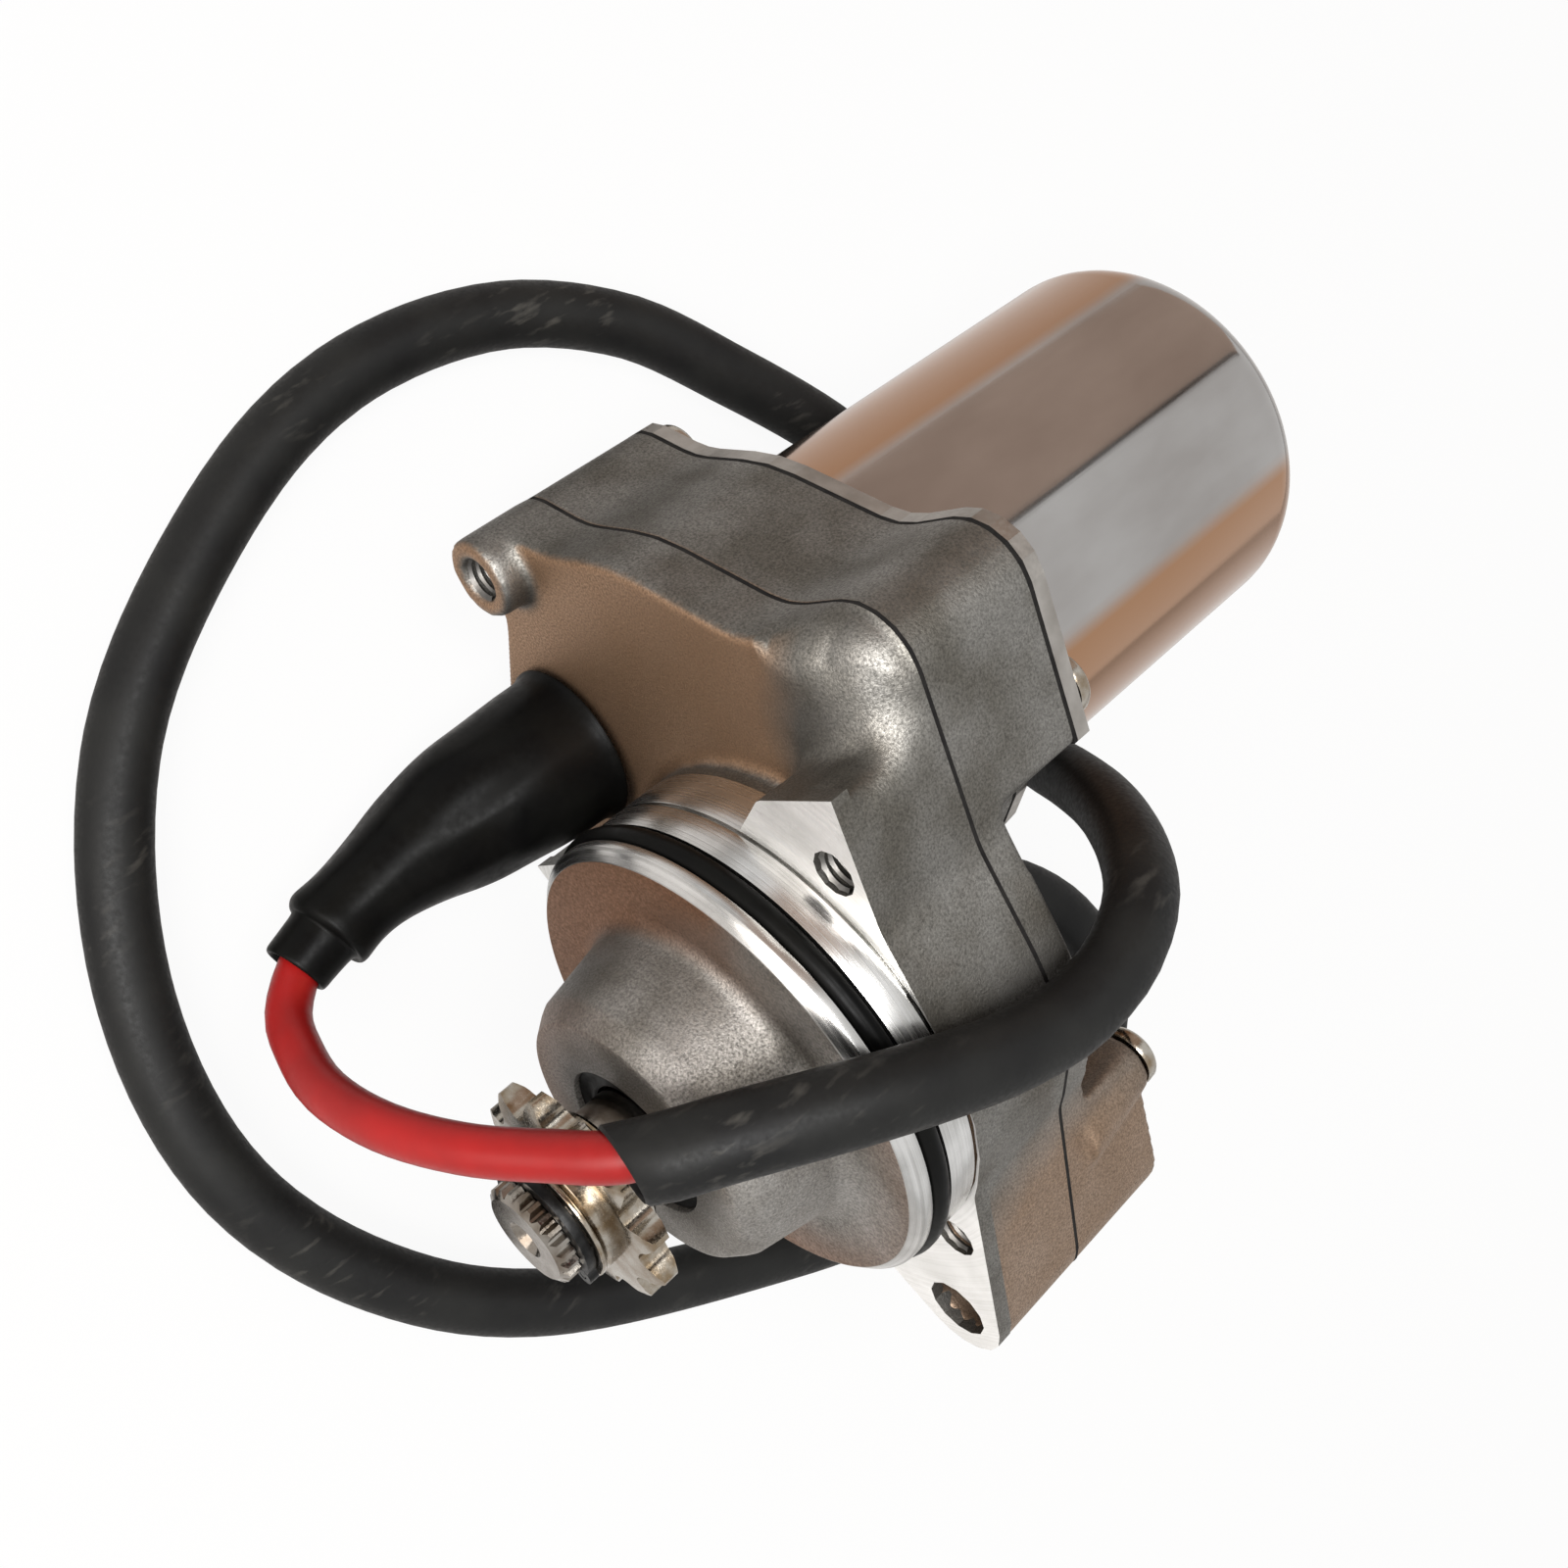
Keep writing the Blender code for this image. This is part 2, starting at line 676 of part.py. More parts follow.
def build_front_cover(frame):
    """The gearbox's front half: mounting face, pilot, nose, screw boss and mounting ear."""
    cover = plate("front_cover", HOUSING, MOUNT_FACE, FRONT_JOINT - GASKET / 2 - GASKET_GAP, frame)
    relief = plate("cover_relief", COVER_RELIEF, MOUNT_FACE - 2, COVER_FACE, frame)
    combine(cover, relief, "DIFFERENCE")
    settle(cover, relief)
    bevel_outer_edge(cover, COVER_FACE, 3.0)
    combine(cover, turned("nose", nose_profile(), frame, steps=36), "UNION")
    boss = rods("screw_boss", [(*BOSS_SCREW, BOSS_R, BOSS_FACE, FRONT_JOINT - 1)], frame, 28)
    combine(cover, boss, "UNION")
    shaft_way = [
        (0.0, NOSE_FRONT - 1),
        (SEAL_POCKET_R, NOSE_FRONT - 1),
        (SEAL_POCKET_R, -6.5),
        (JOURNAL_R + 0.7, -6.5),
        (JOURNAL_R + 0.7, -2.0),
        (BUSH_SEAT_R, -2.0),
        (BUSH_SEAT_R, CAVITY_FRONT + 1),
        (0.0, CAVITY_FRONT + 1),
    ]
    combine(cover, turned("shaft_way", shaft_way, frame, steps=24), "DIFFERENCE")
    gear_room = (*OUTPUT, GEAR_CAVITY_R, CAVITY_FRONT, FRONT_JOINT + 1)
    pinion_room = (*ARMATURE, PINION_CAVITY_R, PINION_CAVITY_FRONT, FRONT_JOINT + 1)
    for k, room in enumerate((gear_room, pinion_room)):
        combine(cover, rods(f"gear_room_{k}", [room], frame, 32), "DIFFERENCE")
    screws = (EAR_SCREW, CORNER_SCREW, BOSS_SCREW)
    holes = [(*place, THREAD_R, MOUNT_FACE - 2, REAR_JOINT) for place in screws]
    holes.append((*LOWER_SCREW, THREAD_R, 20.0, REAR_JOINT))
    holes.append((*EAR_HOLE, EAR_HOLE_R, MOUNT_FACE - 2, REAR_JOINT))
    holes.append((*STUD, STUD_HOLE_R, MOUNT_FACE, REAR_JOINT))
    combine(cover, rods("cover_holes", holes, frame, 12), "DIFFERENCE")
    dress(cover, "cast_aluminium")


def build_gaskets(frame):
    """The paper gaskets of the two joints."""
    clear = THREAD_R + 0.2
    holes = [(*place, clear) for place in (EAR_SCREW, CORNER_SCREW, BOSS_SCREW, LOWER_SCREW)]
    holes += [(*EAR_HOLE, EAR_HOLE_R), (*STUD, STUD_HOLE_R), (*OUTPUT, GEAR_CAVITY_R)]
    front = plate("cover_gasket", HOUSING, FRONT_JOINT - GASKET / 2, FRONT_JOINT + GASKET / 2, frame, holes)
    room = rods("gasket_pinion_room", [(*ARMATURE, PINION_CAVITY_R, 20.0, 30.0)], frame)
    combine(front, room, "DIFFERENCE")
    holes = [(*place, clear) for place in (CORNER_SCREW, BOSS_SCREW, LOWER_SCREW)]
    holes.append((*ARMATURE, CHAMBER_R))
    rear = plate("back_gasket", HOUSING, REAR_JOINT - GASKET / 2, REAR_JOINT + GASKET / 2, frame, holes)
    combine(rear, plate("gasket_relief", MOTOR_RELIEF, 40.0, 45.0, frame), "DIFFERENCE")
    for gasket in (front, rear):
        dress(gasket, "gasket_paper")


def build_mid_housing(frame):
    """The gearbox's rear half, which also holds the brush gear and the front armature bush."""
    face = FRONT_JOINT + GASKET / 2 + GASKET_GAP
    rear = REAR_JOINT - GASKET / 2 - GASKET_GAP
    housing = plate("mid_housing", HOUSING, face, rear, frame)
    combine(housing, plate("gear_relief", GEAR_RELIEF, GEAR_BACK, REAR_JOINT + 2, frame), "DIFFERENCE")
    column = [(*EAR_SCREW, EAR_COLUMN_R, GEAR_BACK - 0.7, rear)]
    combine(housing, rods("ear_column", column, frame, 28), "UNION")
    chamber = [(*ARMATURE, CHAMBER_R, GEAR_BACK, REAR_JOINT + 2)]
    combine(housing, rods("brush_chamber", chamber, frame, 32), "DIFFERENCE")
    holes = [(*place, THREAD_R, 20.0, 45.0) for place in (EAR_SCREW, CORNER_SCREW, BOSS_SCREW, LOWER_SCREW)]
    holes.append((*EAR_HOLE, EAR_HOLE_R, 20.0, 45.0))
    holes.append((*ARMATURE, SMALL_SEAT_R, 20.0, GEAR_BACK + 1))
    holes.append((*OUTPUT, SMALL_SEAT_R, 20.0, 28.4))
    combine(housing, rods("housing_holes", holes, frame, 12), "DIFFERENCE")
    combine(housing, rods("stud_way", [(*STUD, STUD_HOLE_R, 20.0, 35.0)], frame, 14), "DIFFERENCE")
    dress(housing, "cast_aluminium")


def build_motor_shell(frame):
    """The end plate, and the drawn can that it closes."""
    front = REAR_JOINT + GASKET / 2 + GASKET_GAP
    holes = [(*place, THREAD_R) for place in (CORNER_SCREW, BOSS_SCREW, LOWER_SCREW)]
    holes.append((*ARMATURE, 19.5))
    end_plate = plate("motor_end_plate", HOUSING, front, front + PLATE, frame, holes)
    combine(end_plate, plate("plate_relief", MOTOR_RELIEF, 40.0, 48.0, frame), "DIFFERENCE")
    dress(end_plate, "plate_steel")
    mouth = front + PLATE + GAP
    inner_r, floor = CAN_R - CAN_WALL, CAN_END - CAN_WALL
    corner = []
    for degrees in (0, 30, 60, 90):
        angle = math.radians(degrees)
        corner.append(
            (CAN_R - CAN_CORNER * (1 - math.cos(angle)), CAN_END - CAN_CORNER * (1 - math.sin(angle)))
        )
    profile = [
        (0.0, floor),
        (SMALL_SEAT_R, floor),
        (SMALL_SEAT_R, 98.4),
        (SMALL_SEAT_R + 2.0, 98.4),
        (SMALL_SEAT_R + 2.0, floor),
        (CAN_R - CAN_CORNER, floor),
        (inner_r - 1.2, CAN_END - CAN_CORNER + 1.5),
        (inner_r, CAN_END - CAN_CORNER - 1.0),
        (inner_r, mouth),
        (CAN_R, mouth),
        *corner,
        (0.0, CAN_END),
    ]
    dress(turned("motor_can", profile, frame, ARMATURE, 36), "can_steel")


def build_seals_and_bushes(frame):
    """The pilot ring, the shaft seal and the four plain bearings."""
    ring_y = sum(RING_GROOVE) / 2
    ring_r = RING_GROOVE_R + 0.2 + RING_R
    section = [on_circle((ring_r, ring_y), RING_R, math.tau * (k / 6 - 0.33)) for k in range(6)]
    ring = turned("pilot_o_ring", [tuple(point) for point in section], frame, steps=32)
    dress(ring, "black_rubber")
    seal = [
        (SEAL_POCKET_R - GAP, -11.0),
        (SEAL_POCKET_R - GAP, -6.8),
        (JOURNAL_R + 1.0, -6.8),
        (JOURNAL_R + 0.35, -8.6),
        (JOURNAL_R + 0.9, -10.2),
        (JOURNAL_R + 0.9, -11.0),
    ]
    dress(turned("nose_oil_seal", seal, frame, steps=24), "black_rubber")
    bushes = [
        ("output_front_bush", OUTPUT, BUSH_SEAT_R - GAP, JOURNAL_R + GAP, -1.7, 13.2),
        ("output_rear_bush", OUTPUT, SMALL_BUSH_R, SHAFT_R + GAP, 24.5, 28.0),
        ("armature_front_bush", ARMATURE, SMALL_BUSH_R, SHAFT_R + GAP, 25.5, 29.3),
        ("armature_rear_bush", ARMATURE, SMALL_BUSH_R, SHAFT_R + GAP, 98.6, 104.6),
    ]
    for name, axis, outer, bore, front, back in bushes:
        dress(turned(name, tube_profile(outer, bore, front, back), frame, axis, 18), "bronze")


def build_output(spin):
    """The splined output shaft with its gear, sprocket and retaining parts, on the output axis."""
    spline = spline_outline(SPLINE_TEETH, SPLINE_R, SPLINE_ROOT_R, 0.4)
    shaft = plate("output_shaft", spline, SHAFT_TIP, HUB_REAR, spin)
    envelope = [
        (0.0, SHAFT_TIP + 1.4),
        (1.4, SHAFT_TIP),
        (SPLINE_ROOT_R - 0.5, SHAFT_TIP),
        (SPLINE_R + 0.2, SHAFT_TIP + 0.9),
        (SPLINE_R + 0.2, HUB_REAR + 0.5),
        (0.0, HUB_REAR + 0.5),
    ]
    combine(shaft, turned("spline_end", envelope, spin, steps=24), "INTERSECT")
    groove = tube_profile(SPLINE_R + 2, SPLINE_ROOT_R - 0.4, CIRCLIP[0] - 0.15, CIRCLIP[1] + 0.15)
    combine(shaft, turned("circlip_groove", groove, spin, steps=24), "DIFFERENCE")
    body = [
        (0.0, HUB_REAR - 0.2),
        (JOURNAL_R, HUB_REAR - 0.2 + 0.4),
        (JOURNAL_R, 13.9),
        (GEAR_SEAT_R, 13.9),
        (GEAR_SEAT_R, GEAR_REAR + 0.2),
        (SHAFT_R, GEAR_REAR + 0.2),
        (SHAFT_R, 27.8),
        (0.0, 27.8),
    ]
    combine(shaft, turned("shaft_body", body, spin, steps=18), "UNION")
    dress(shaft, "shaft_steel")

    mesh_angle = math.atan2(ARMATURE_Z, ARMATURE_X)
    space = mesh_angle + math.pi / GEAR_TEETH
    teeth = involute_gear(GEAR_TEETH, -SHIFT, space, 1)
    gear = plate("output_gear", teeth, GEAR_FRONT, GEAR_REAR, spin)
    hub = rods("gear_hub", [(*OUTPUT, GEAR_HUB_R, GEAR_HUB_FRONT, GEAR_FRONT + 1)], spin)
    combine(gear, hub, "UNION")
    bore = rods("gear_bore", [(*OUTPUT, GEAR_SEAT_R + GAP, GEAR_HUB_FRONT - 1, GEAR_REAR + 1)], spin)
    combine(gear, bore, "DIFFERENCE")
    dress(gear, "core_steel")

    sprocket = plate("sprocket", sprocket_outline(), SPROCKET_FRONT, SPROCKET_REAR, spin)
    middle = (SPROCKET_FRONT + SPROCKET_REAR) / 2
    rim = [
        (0.0, SPROCKET_FRONT - 1),
        (10.4, SPROCKET_FRONT - 1),
        (10.4, SPROCKET_FRONT),
        (SPROCKET_TIP_R + 0.4, middle - 0.8),
        (SPROCKET_TIP_R + 0.4, middle + 0.8),
        (10.4, SPROCKET_REAR),
        (10.4, SPROCKET_REAR + 1),
        (0.0, SPROCKET_REAR + 1),
    ]
    combine(sprocket, turned("sprocket_rim", rim, spin, steps=24), "INTERSECT")
    combine(sprocket, rods("sprocket_hub", [(*OUTPUT, HUB_R, HUB_FRONT, HUB_REAR)], spin, 28), "UNION")
    bore = rods("sprocket_bore", [(*OUTPUT, SPLINE_R + GAP, HUB_FRONT - 1, HUB_REAR + 1)], spin, 28)
    combine(sprocket, bore, "DIFFERENCE")
    dress(sprocket, "zinc_steel")

    washer = tube_profile(HUB_R + 0.1, SPLINE_R + GAP, CIRCLIP[1] + 0.2, HUB_FRONT - 0.2)
    dress(turned("sprocket_washer", washer, spin, steps=24), "zinc_steel")
    gap = math.radians(22)
    clip = sector(CIRCLIP_R, SPLINE_ROOT_R - 0.1, gap, math.tau - gap, 24)
    dress(plate("sprocket_circlip", clip, *CIRCLIP, spin), "black_steel")


def build_armature(spin):
    """The pinion shaft with its core, winding and commutator, on the armature axis."""
    tooth = math.atan2(ARMATURE_Z, ARMATURE_X) + math.pi
    pinion = involute_gear(PINION_TEETH, SHIFT, tooth, 3)
    shaft = plate("armature_shaft", pinion, PINION_FRONT, PINION_REAR, spin)
    body = [(0.0, 20.4), (3.6, 20.4), (3.6, 23.0), (SHAFT_R, 23.0), (SHAFT_R, 104.0), (0.0, 104.0)]
    combine(shaft, turned("shaft_bar", body, spin, steps=24), "UNION")
    dress(shaft, "shaft_steel")

    bore = [(*OUTPUT, SHAFT_R + GAP)]
    laminations = slotted_disc(CORE_R, SLOT_FLOOR_R, SLOT_WIDTH, SLOTS)
    dress(plate("lamination_core", laminations, *CORE_SPAN, spin, bore), "core_steel")
    segments = slotted_disc(COMMUTATOR_R, COMMUTATOR_R - 1.2, 0.8, SLOTS)
    dress(plate("commutator", segments, *COMMUTATOR_SPAN, spin, bore), "copper")

    front_turns = [(6.0, 46.0), (12.5, 45.6), (15.0, 47.6), (15.0, 51.6), (6.0, 51.6)]
    rear_turns = [(6.0, 92.4), (15.0, 92.4), (15.0, 96.0), (12.5, 97.8), (6.0, 97.4)]
    winding = turned("armature_winding", front_turns, spin, steps=14)
    combine(winding, turned("rear_turns", rear_turns, spin, steps=14), "UNION")
    bar_low, bar_high = SLOT_FLOOR_R + 0.5, 14.6
    for k in range(SLOTS):
        angle = math.tau * k / SLOTS
        middle = (bar_low + bar_high) / 2
        bar = block(f"slot_bar_{k}", (0, 0, 0), (bar_high - bar_low, 47.0, SLOT_WIDTH - 0.8), spin)
        bar.location = Vector((middle * math.cos(angle), 72.0, middle * math.sin(angle))) * MM
        bar.rotation_euler = (0.0, -angle, 0.0)
        combine(winding, bar, "UNION")
    dress(winding, "copper")


def build_stator(field):
    """The two field magnets and the brush gear, placed from an empty on the armature's axis."""
    for k, middle in enumerate((math.pi / 2, -math.pi / 2)):
        outline = sector(MAGNET_R, MAGNET_BORE_R, middle - MAGNET_ARC / 2, middle + MAGNET_ARC / 2, 12)
        dress(plate(f"field_magnet_{k + 1}", outline, *MAGNET_SPAN, field), "ferrite")
    disc = turned("brush_plate", tube_profile(CHAMBER_R - GAP, 11.5, 29.8, 31.4), field, steps=28)
    notch = rods("stud_notch", [(STUD[0] - ARMATURE_X, STUD[1] - ARMATURE_Z, 6.0, 28.0, 33.0)], field, 20)
    combine(disc, notch, "DIFFERENCE")
    dress(disc, "phenolic")
    for k, side in enumerate((1, -1)):
        holder = block(f"brush_holder_{k + 1}", (side * 15.6, 36.2, 0.0), (8.6, 9.0, 8.8), field)
        room = block(f"brush_room_{k + 1}", (side * 14.0, 36.2, 0.0), (9.6, 7.2, 7.0), field)
        combine(holder, room, "DIFFERENCE")
        dress(holder, "brass")
        brush = block(f"carbon_brush_{k + 1}", (side * 12.8, 36.2, 0.0), (6.0, 6.6, 6.4), field)
        dress(brush, "carbon")
        turns, points_per_turn = 2.5, 6
        steps = int(turns * points_per_turn)
        coil = []
        for i in range(steps + 1):
            angle = math.tau * i / points_per_turn
            station = 36.2 + 2.2 * math.cos(angle)
            coil.append((side * (16.4 + 1.8 * i / steps), station, 2.2 * math.sin(angle)))
        spring = tube(f"brush_spring_{k + 1}", coil, [0.25] * len(coil), field, 0)
        dress(spring, "shaft_steel")


def build_terminal(frame):
    """The live terminal: stud, insulator, nuts, cable lug and rubber boot."""
    insulator = [(7.0, 15.9), (7.0, 17.7), (4.6, 17.7), (4.6, 29.4), (3.3, 29.4), (3.3, 15.9)]
    dress(turned("terminal_insulator", insulator, frame, STUD, 18), "phenolic")
    stud = [(0.0, 3.2), (2.6, 3.2), (3.0, 3.8), (3.0, 30.0), (4.4, 30.0), (4.4, 33.0), (0.0, 33.0)]
    dress(turned("terminal_stud", stud, frame, STUD, 16), "brass")
    for k, front in enumerate((11.2, 5.0)):
        nut = rods(f"terminal_nut_{k + 1}", [(*STUD, 5.77, front, front + 4.0)], frame, 6)
        combine(nut, rods(f"nut_bore_{k + 1}", [(*STUD, 3.3, front - 1, front + 5)], frame, 20), "DIFFERENCE")
        dress(nut, "zinc_steel")
    x, z = STUD
    lug = rods("ring_terminal", [(x, z, 6.0, 9.4, 10.8)], frame, 28)
    combine(lug, rods("lug_hole", [(x, z, 3.3, 8.0, 12.0)], frame, 20), "DIFFERENCE")
    combine(lug, block("lug_tongue", (x - 5.5, 10.1, z), (3.0, 1.4, 5.4), frame), "UNION")
    combine(lug, block("lug_strap", (x - 6.6, 5.2, z), (1.0, 11.2, 4.6), frame), "UNION")
    combine(lug, block("lug_bridge", (x - 4.2, 0.6, z), (5.6, 1.8, 4.2), frame), "UNION")
    barrel_end = RED_ROUTE[0][1] + GAP
    combine(lug, rods("lug_barrel", [(x - 0.7, z, 3.3, barrel_end, 1.6)], frame, 20), "UNION")
    dress(lug, "brass")

    def boot_tube(name, route, radii):
        points = [(px, py, z) for px, py in route]
        return mesh_from_curve(tube(name, points, radii, frame, 3))

    boot = boot_tube("terminal_boot", BOOT_ROUTE, BOOT_RADII)
    combine(boot, boot_tube("boot_collar", COLLAR_ROUTE, COLLAR_RADII), "UNION")
    combine(boot, boot_tube("boot_bore", BOOT_BORE_ROUTE, BOOT_BORE_RADII), "DIFFERENCE")
    dress(boot, "black_rubber")


def build_cable(frame):
    """The red wire, the black sleeve that it runs in, and the ring lug on the far end."""
    wire = smooth_route(RED_ROUTE, 2.0 * WIRE_R, after=SLEEVE_ROUTE[1])
    sleeve = smooth_route(SLEEVE_ROUTE, 3.3 * SLEEVE_R, before=RED_ROUTE[-2])
    along = (Vector(SLEEVE_ROUTE[1]) - Vector(RED_ROUTE[-2])).normalized()
    wire_end, mouth = Vector(RED_ROUTE[-1]), Vector(SLEEVE_ROUTE[0])
    wire[-1:] = [wire_end - along * 3.0, wire_end - along * GAP]
    sleeve.insert(1, mouth + along * 3.0)
    dress(tube("red_wire", wire, [WIRE_R] * len(wire), frame, 2), "red_insulation")
    dress(tube("cable_sleeve", sleeve, [SLEEVE_R] * len(sleeve), frame, 2), "black_sleeve")
    tip = Vector(SLEEVE_ROUTE[-1])
    heading = (tip - sleeve[-2]).normalized()
    reach = [tip + heading * step for step in (GAP, 9.0, 16.0)]
    shrink = mesh_from_curve(tube("lug_shrink_sleeve", reach, [4.0, 3.9, 3.4], frame, 3))
    core = [tip + heading * step for step in (11.0, 18.0)]
    combine(shrink, mesh_from_curve(tube("shrink_bore", core, [2.9, 2.9], frame, 3)), "DIFFERENCE")
    dress(shrink, "black_rubber")
    barrel = [tip + heading * step for step in (11.4, 19.0, 22.0)]
    lug = mesh_from_curve(tube("cable_lug", barrel, [2.6, 2.6, 0.7], frame, 3))
    eye = tip + heading * 26.0
    combine(lug, upright_rod("lug_ring", eye, 6.0, 1.6, frame), "UNION")
    combine(lug, upright_rod("lug_eye", eye, 3.2, 8.0, frame), "DIFFERENCE")
    dress(lug, "brass")


def build_screws(frame):
    """Pan-head screws that come in from the rear and stop short of the front face."""
    plate_back = REAR_JOINT + GASKET / 2 + GASKET_GAP + PLATE + GAP
    ear_back = REAR_JOINT - GASKET / 2 - GASKET_GAP + GAP
    seats = [
        (EAR_SCREW, ear_back, 17.0),
        (CORNER_SCREW, plate_back, 18.0),
        (BOSS_SCREW, plate_back, 20.0),
        (LOWER_SCREW, plate_back, 20.5),
    ]
    for k, (place, seat, tip) in enumerate(seats):
        profile = [
            (0.0, tip),
            (2.4, tip),
            (2.4, seat),
            (4.0, seat),
            (4.0, seat + 1.0),
            (3.3, seat + 2.2),
            (1.8, seat + 2.8),
            (0.0, seat + 2.9),
        ]
        dress(turned(f"cover_screw_{k + 1}", profile, frame, place, 12), "zinc_steel")


def main():
    for name, (colour, roughness, metallic) in FINISHES.items():
        make_finish(name, colour, roughness, metallic)
    width = [point[0] for point in HOUSING]
    middle_x = (min(width) + max(width)) / 2
    middle_y = (SHAFT_TIP + CAN_END) / 2
    frame = make_empty("motor_frame", None, (-middle_x, -middle_y, -FLOOR_Z))
    output_spin = make_empty("output_axis", frame, (0, 0, 0))
    armature_spin = make_empty("armature_axis", frame, (ARMATURE_X, 0, ARMATURE_Z))
    build_front_cover(frame)
    build_gaskets(frame)
    build_mid_housing(frame)
    build_motor_shell(frame)
    build_seals_and_bushes(frame)
    build_output(output_spin)
    build_armature(armature_spin)
    build_stator(make_empty("field_axis", frame, (ARMATURE_X, 0, ARMATURE_Z)))
    build_terminal(frame)
    build_cable(frame)
    build_screws(frame)


main()
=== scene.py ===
"""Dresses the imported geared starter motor: finer pieces, real finishes, and a plain studio.

Sizes are millimetres in the motor's own frame: the output shaft runs along Y with the sprocket in front,
at -Y, and the origin is the middle of the pilot's front rim. TO_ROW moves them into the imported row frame.
"""

import logging
import math
from collections.abc import Sequence
from dataclasses import dataclass, field
from enum import Enum

import bmesh
import bpy
from mathutils import Matrix, Vector, noise


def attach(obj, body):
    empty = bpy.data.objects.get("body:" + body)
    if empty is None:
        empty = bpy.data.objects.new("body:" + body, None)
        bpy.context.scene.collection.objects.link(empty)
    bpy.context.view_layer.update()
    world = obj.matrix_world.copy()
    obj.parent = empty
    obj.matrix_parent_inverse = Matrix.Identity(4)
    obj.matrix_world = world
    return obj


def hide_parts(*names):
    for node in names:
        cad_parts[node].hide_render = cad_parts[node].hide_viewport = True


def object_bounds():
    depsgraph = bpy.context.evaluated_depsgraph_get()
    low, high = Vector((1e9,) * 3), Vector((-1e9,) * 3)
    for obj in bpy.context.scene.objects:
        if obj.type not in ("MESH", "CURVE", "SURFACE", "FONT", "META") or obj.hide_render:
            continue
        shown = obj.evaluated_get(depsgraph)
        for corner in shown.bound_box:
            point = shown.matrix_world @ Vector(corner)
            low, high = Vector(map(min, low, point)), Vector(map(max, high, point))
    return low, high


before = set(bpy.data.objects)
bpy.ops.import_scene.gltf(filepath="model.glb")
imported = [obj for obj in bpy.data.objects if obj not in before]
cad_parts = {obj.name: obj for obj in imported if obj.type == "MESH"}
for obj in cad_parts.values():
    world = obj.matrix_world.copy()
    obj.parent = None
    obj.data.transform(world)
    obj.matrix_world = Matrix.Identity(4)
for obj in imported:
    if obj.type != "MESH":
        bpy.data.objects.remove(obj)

CAD_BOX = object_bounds()
LOG = logging.getLogger("starter_motor")

# The row frame's origin lies under the middle of the motor, on the surface that it rests on.
ROW_SHIFT = Vector((5.962181, -39.85, 38.4))
TO_ROW = Matrix.Scale(0.001, 4) @ Matrix.Translation(ROW_SHIFT)
TO_MOTOR = TO_ROW.inverted()
ALONG_Y = Vector((0.0, 1.0, 0.0))

OUTPUT_AXIS = Vector((0.0, 0.0, 0.0))
ARMATURE_AXIS = Vector((-27.0, 0.0, -5.2202))
FLOOR_Z = -38.4

Profile = list[tuple[float, float]]


class Body(Enum):
    """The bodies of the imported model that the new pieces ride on."""

    MOTOR = "motor"
    OUTPUT = "output"


class Slot(Enum):
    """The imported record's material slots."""

    CAST = "cast_aluminium"
    CAN = "can_steel"
    ZINC = "zinc_steel"
    SHAFT = "shaft_steel"
    CLIP = "black_steel"
    RUBBER = "black_rubber"
    RED = "red_insulation"
    SLEEVE = "black_sleeve"
    BRASS = "brass"


# Finishes

# The sockets of a Map Range that spread a noise's middle values over the whole range, for slow patches and
# for fine grain
PATCH_SPAN = {1: 0.35, 2: 0.65}
GRAIN_SPAN = {1: 0.3, 2: 0.7}


def linear(colour: str) -> tuple[float, float, float, float]:
    """Turns an sRGB hex colour into the linear colour that a shader takes.

    Args:
        colour: the colour as "#RRGGBB".

    Returns:
        Linear red, green and blue, with an alpha of 1.
    """
    parts = [int(colour[k : k + 2], 16) / 255 for k in (1, 3, 5)]
    straight = [c / 12.92 if c <= 0.04045 else ((c + 0.055) / 1.055) ** 2.4 for c in parts]
    return (straight[0], straight[1], straight[2], 1.0)


def add_node(
    tree: bpy.types.NodeTree, kind: str, sockets: dict | None = None, **settings: object
) -> bpy.types.Node:
    """Adds a node with its settings and links.

    Args:
        tree: the node tree that it joins.
        kind: Blender's name for the node, after "ShaderNode".
        sockets: values or other nodes' outputs for its inputs, by name or number.
        settings: the node's own properties.

    Returns:
        The new node.
    """
    node = tree.nodes.new("ShaderNode" + kind)
    for name, value in settings.items():
        setattr(node, name, value)
    for name, value in (sockets or {}).items():
        if isinstance(value, bpy.types.NodeSocket):
            tree.links.new(value, node.inputs[name])
        else:
            node.inputs[name].default_value = value
    return node


def motor_place(
    tree: bpy.types.NodeTree, axis: Vector = OUTPUT_AXIS, stretch: Vector = Vector((1, 1, 1))
) -> bpy.types.NodeSocket:
    """The shaded point in motor millimetres, measured from an axis.

    Args:
        tree: the node tree that reads it.
        axis: a point on the axis that becomes the origin.
        stretch: a factor for each direction, for a grain that runs one way.

    Returns:
        The vector output to feed a pattern with.
    """
    place = add_node(tree, "TexCoord").outputs["Object"]
    shift = [-(ROW_SHIFT[k] + axis[k]) * stretch[k] for k in range(3)]
    scale = [1000 * stretch[k] for k in range(3)]
    return add_node(tree, "Mapping", {"Vector": place, "Location": shift, "Scale": scale}).outputs["Vector"]


def feed(
    tree: bpy.types.NodeTree,
    shader: bpy.types.Node,
    colour: bpy.types.NodeSocket,
    rough: bpy.types.NodeSocket,
    bump: bpy.types.NodeSocket,
) -> None:
    """Links a finish's patterns to its shader.

    Args:
        tree: the material's nodes.
        shader: its Principled BSDF.
        colour: the pattern of its colour.
        rough: the pattern of its roughness.
        bump: its bumped normal.
    """
    tree.links.new(colour, shader.inputs["Base Color"])
    tree.links.new(rough, shader.inputs["Roughness"])
    tree.links.new(bump, shader.inputs["Normal"])


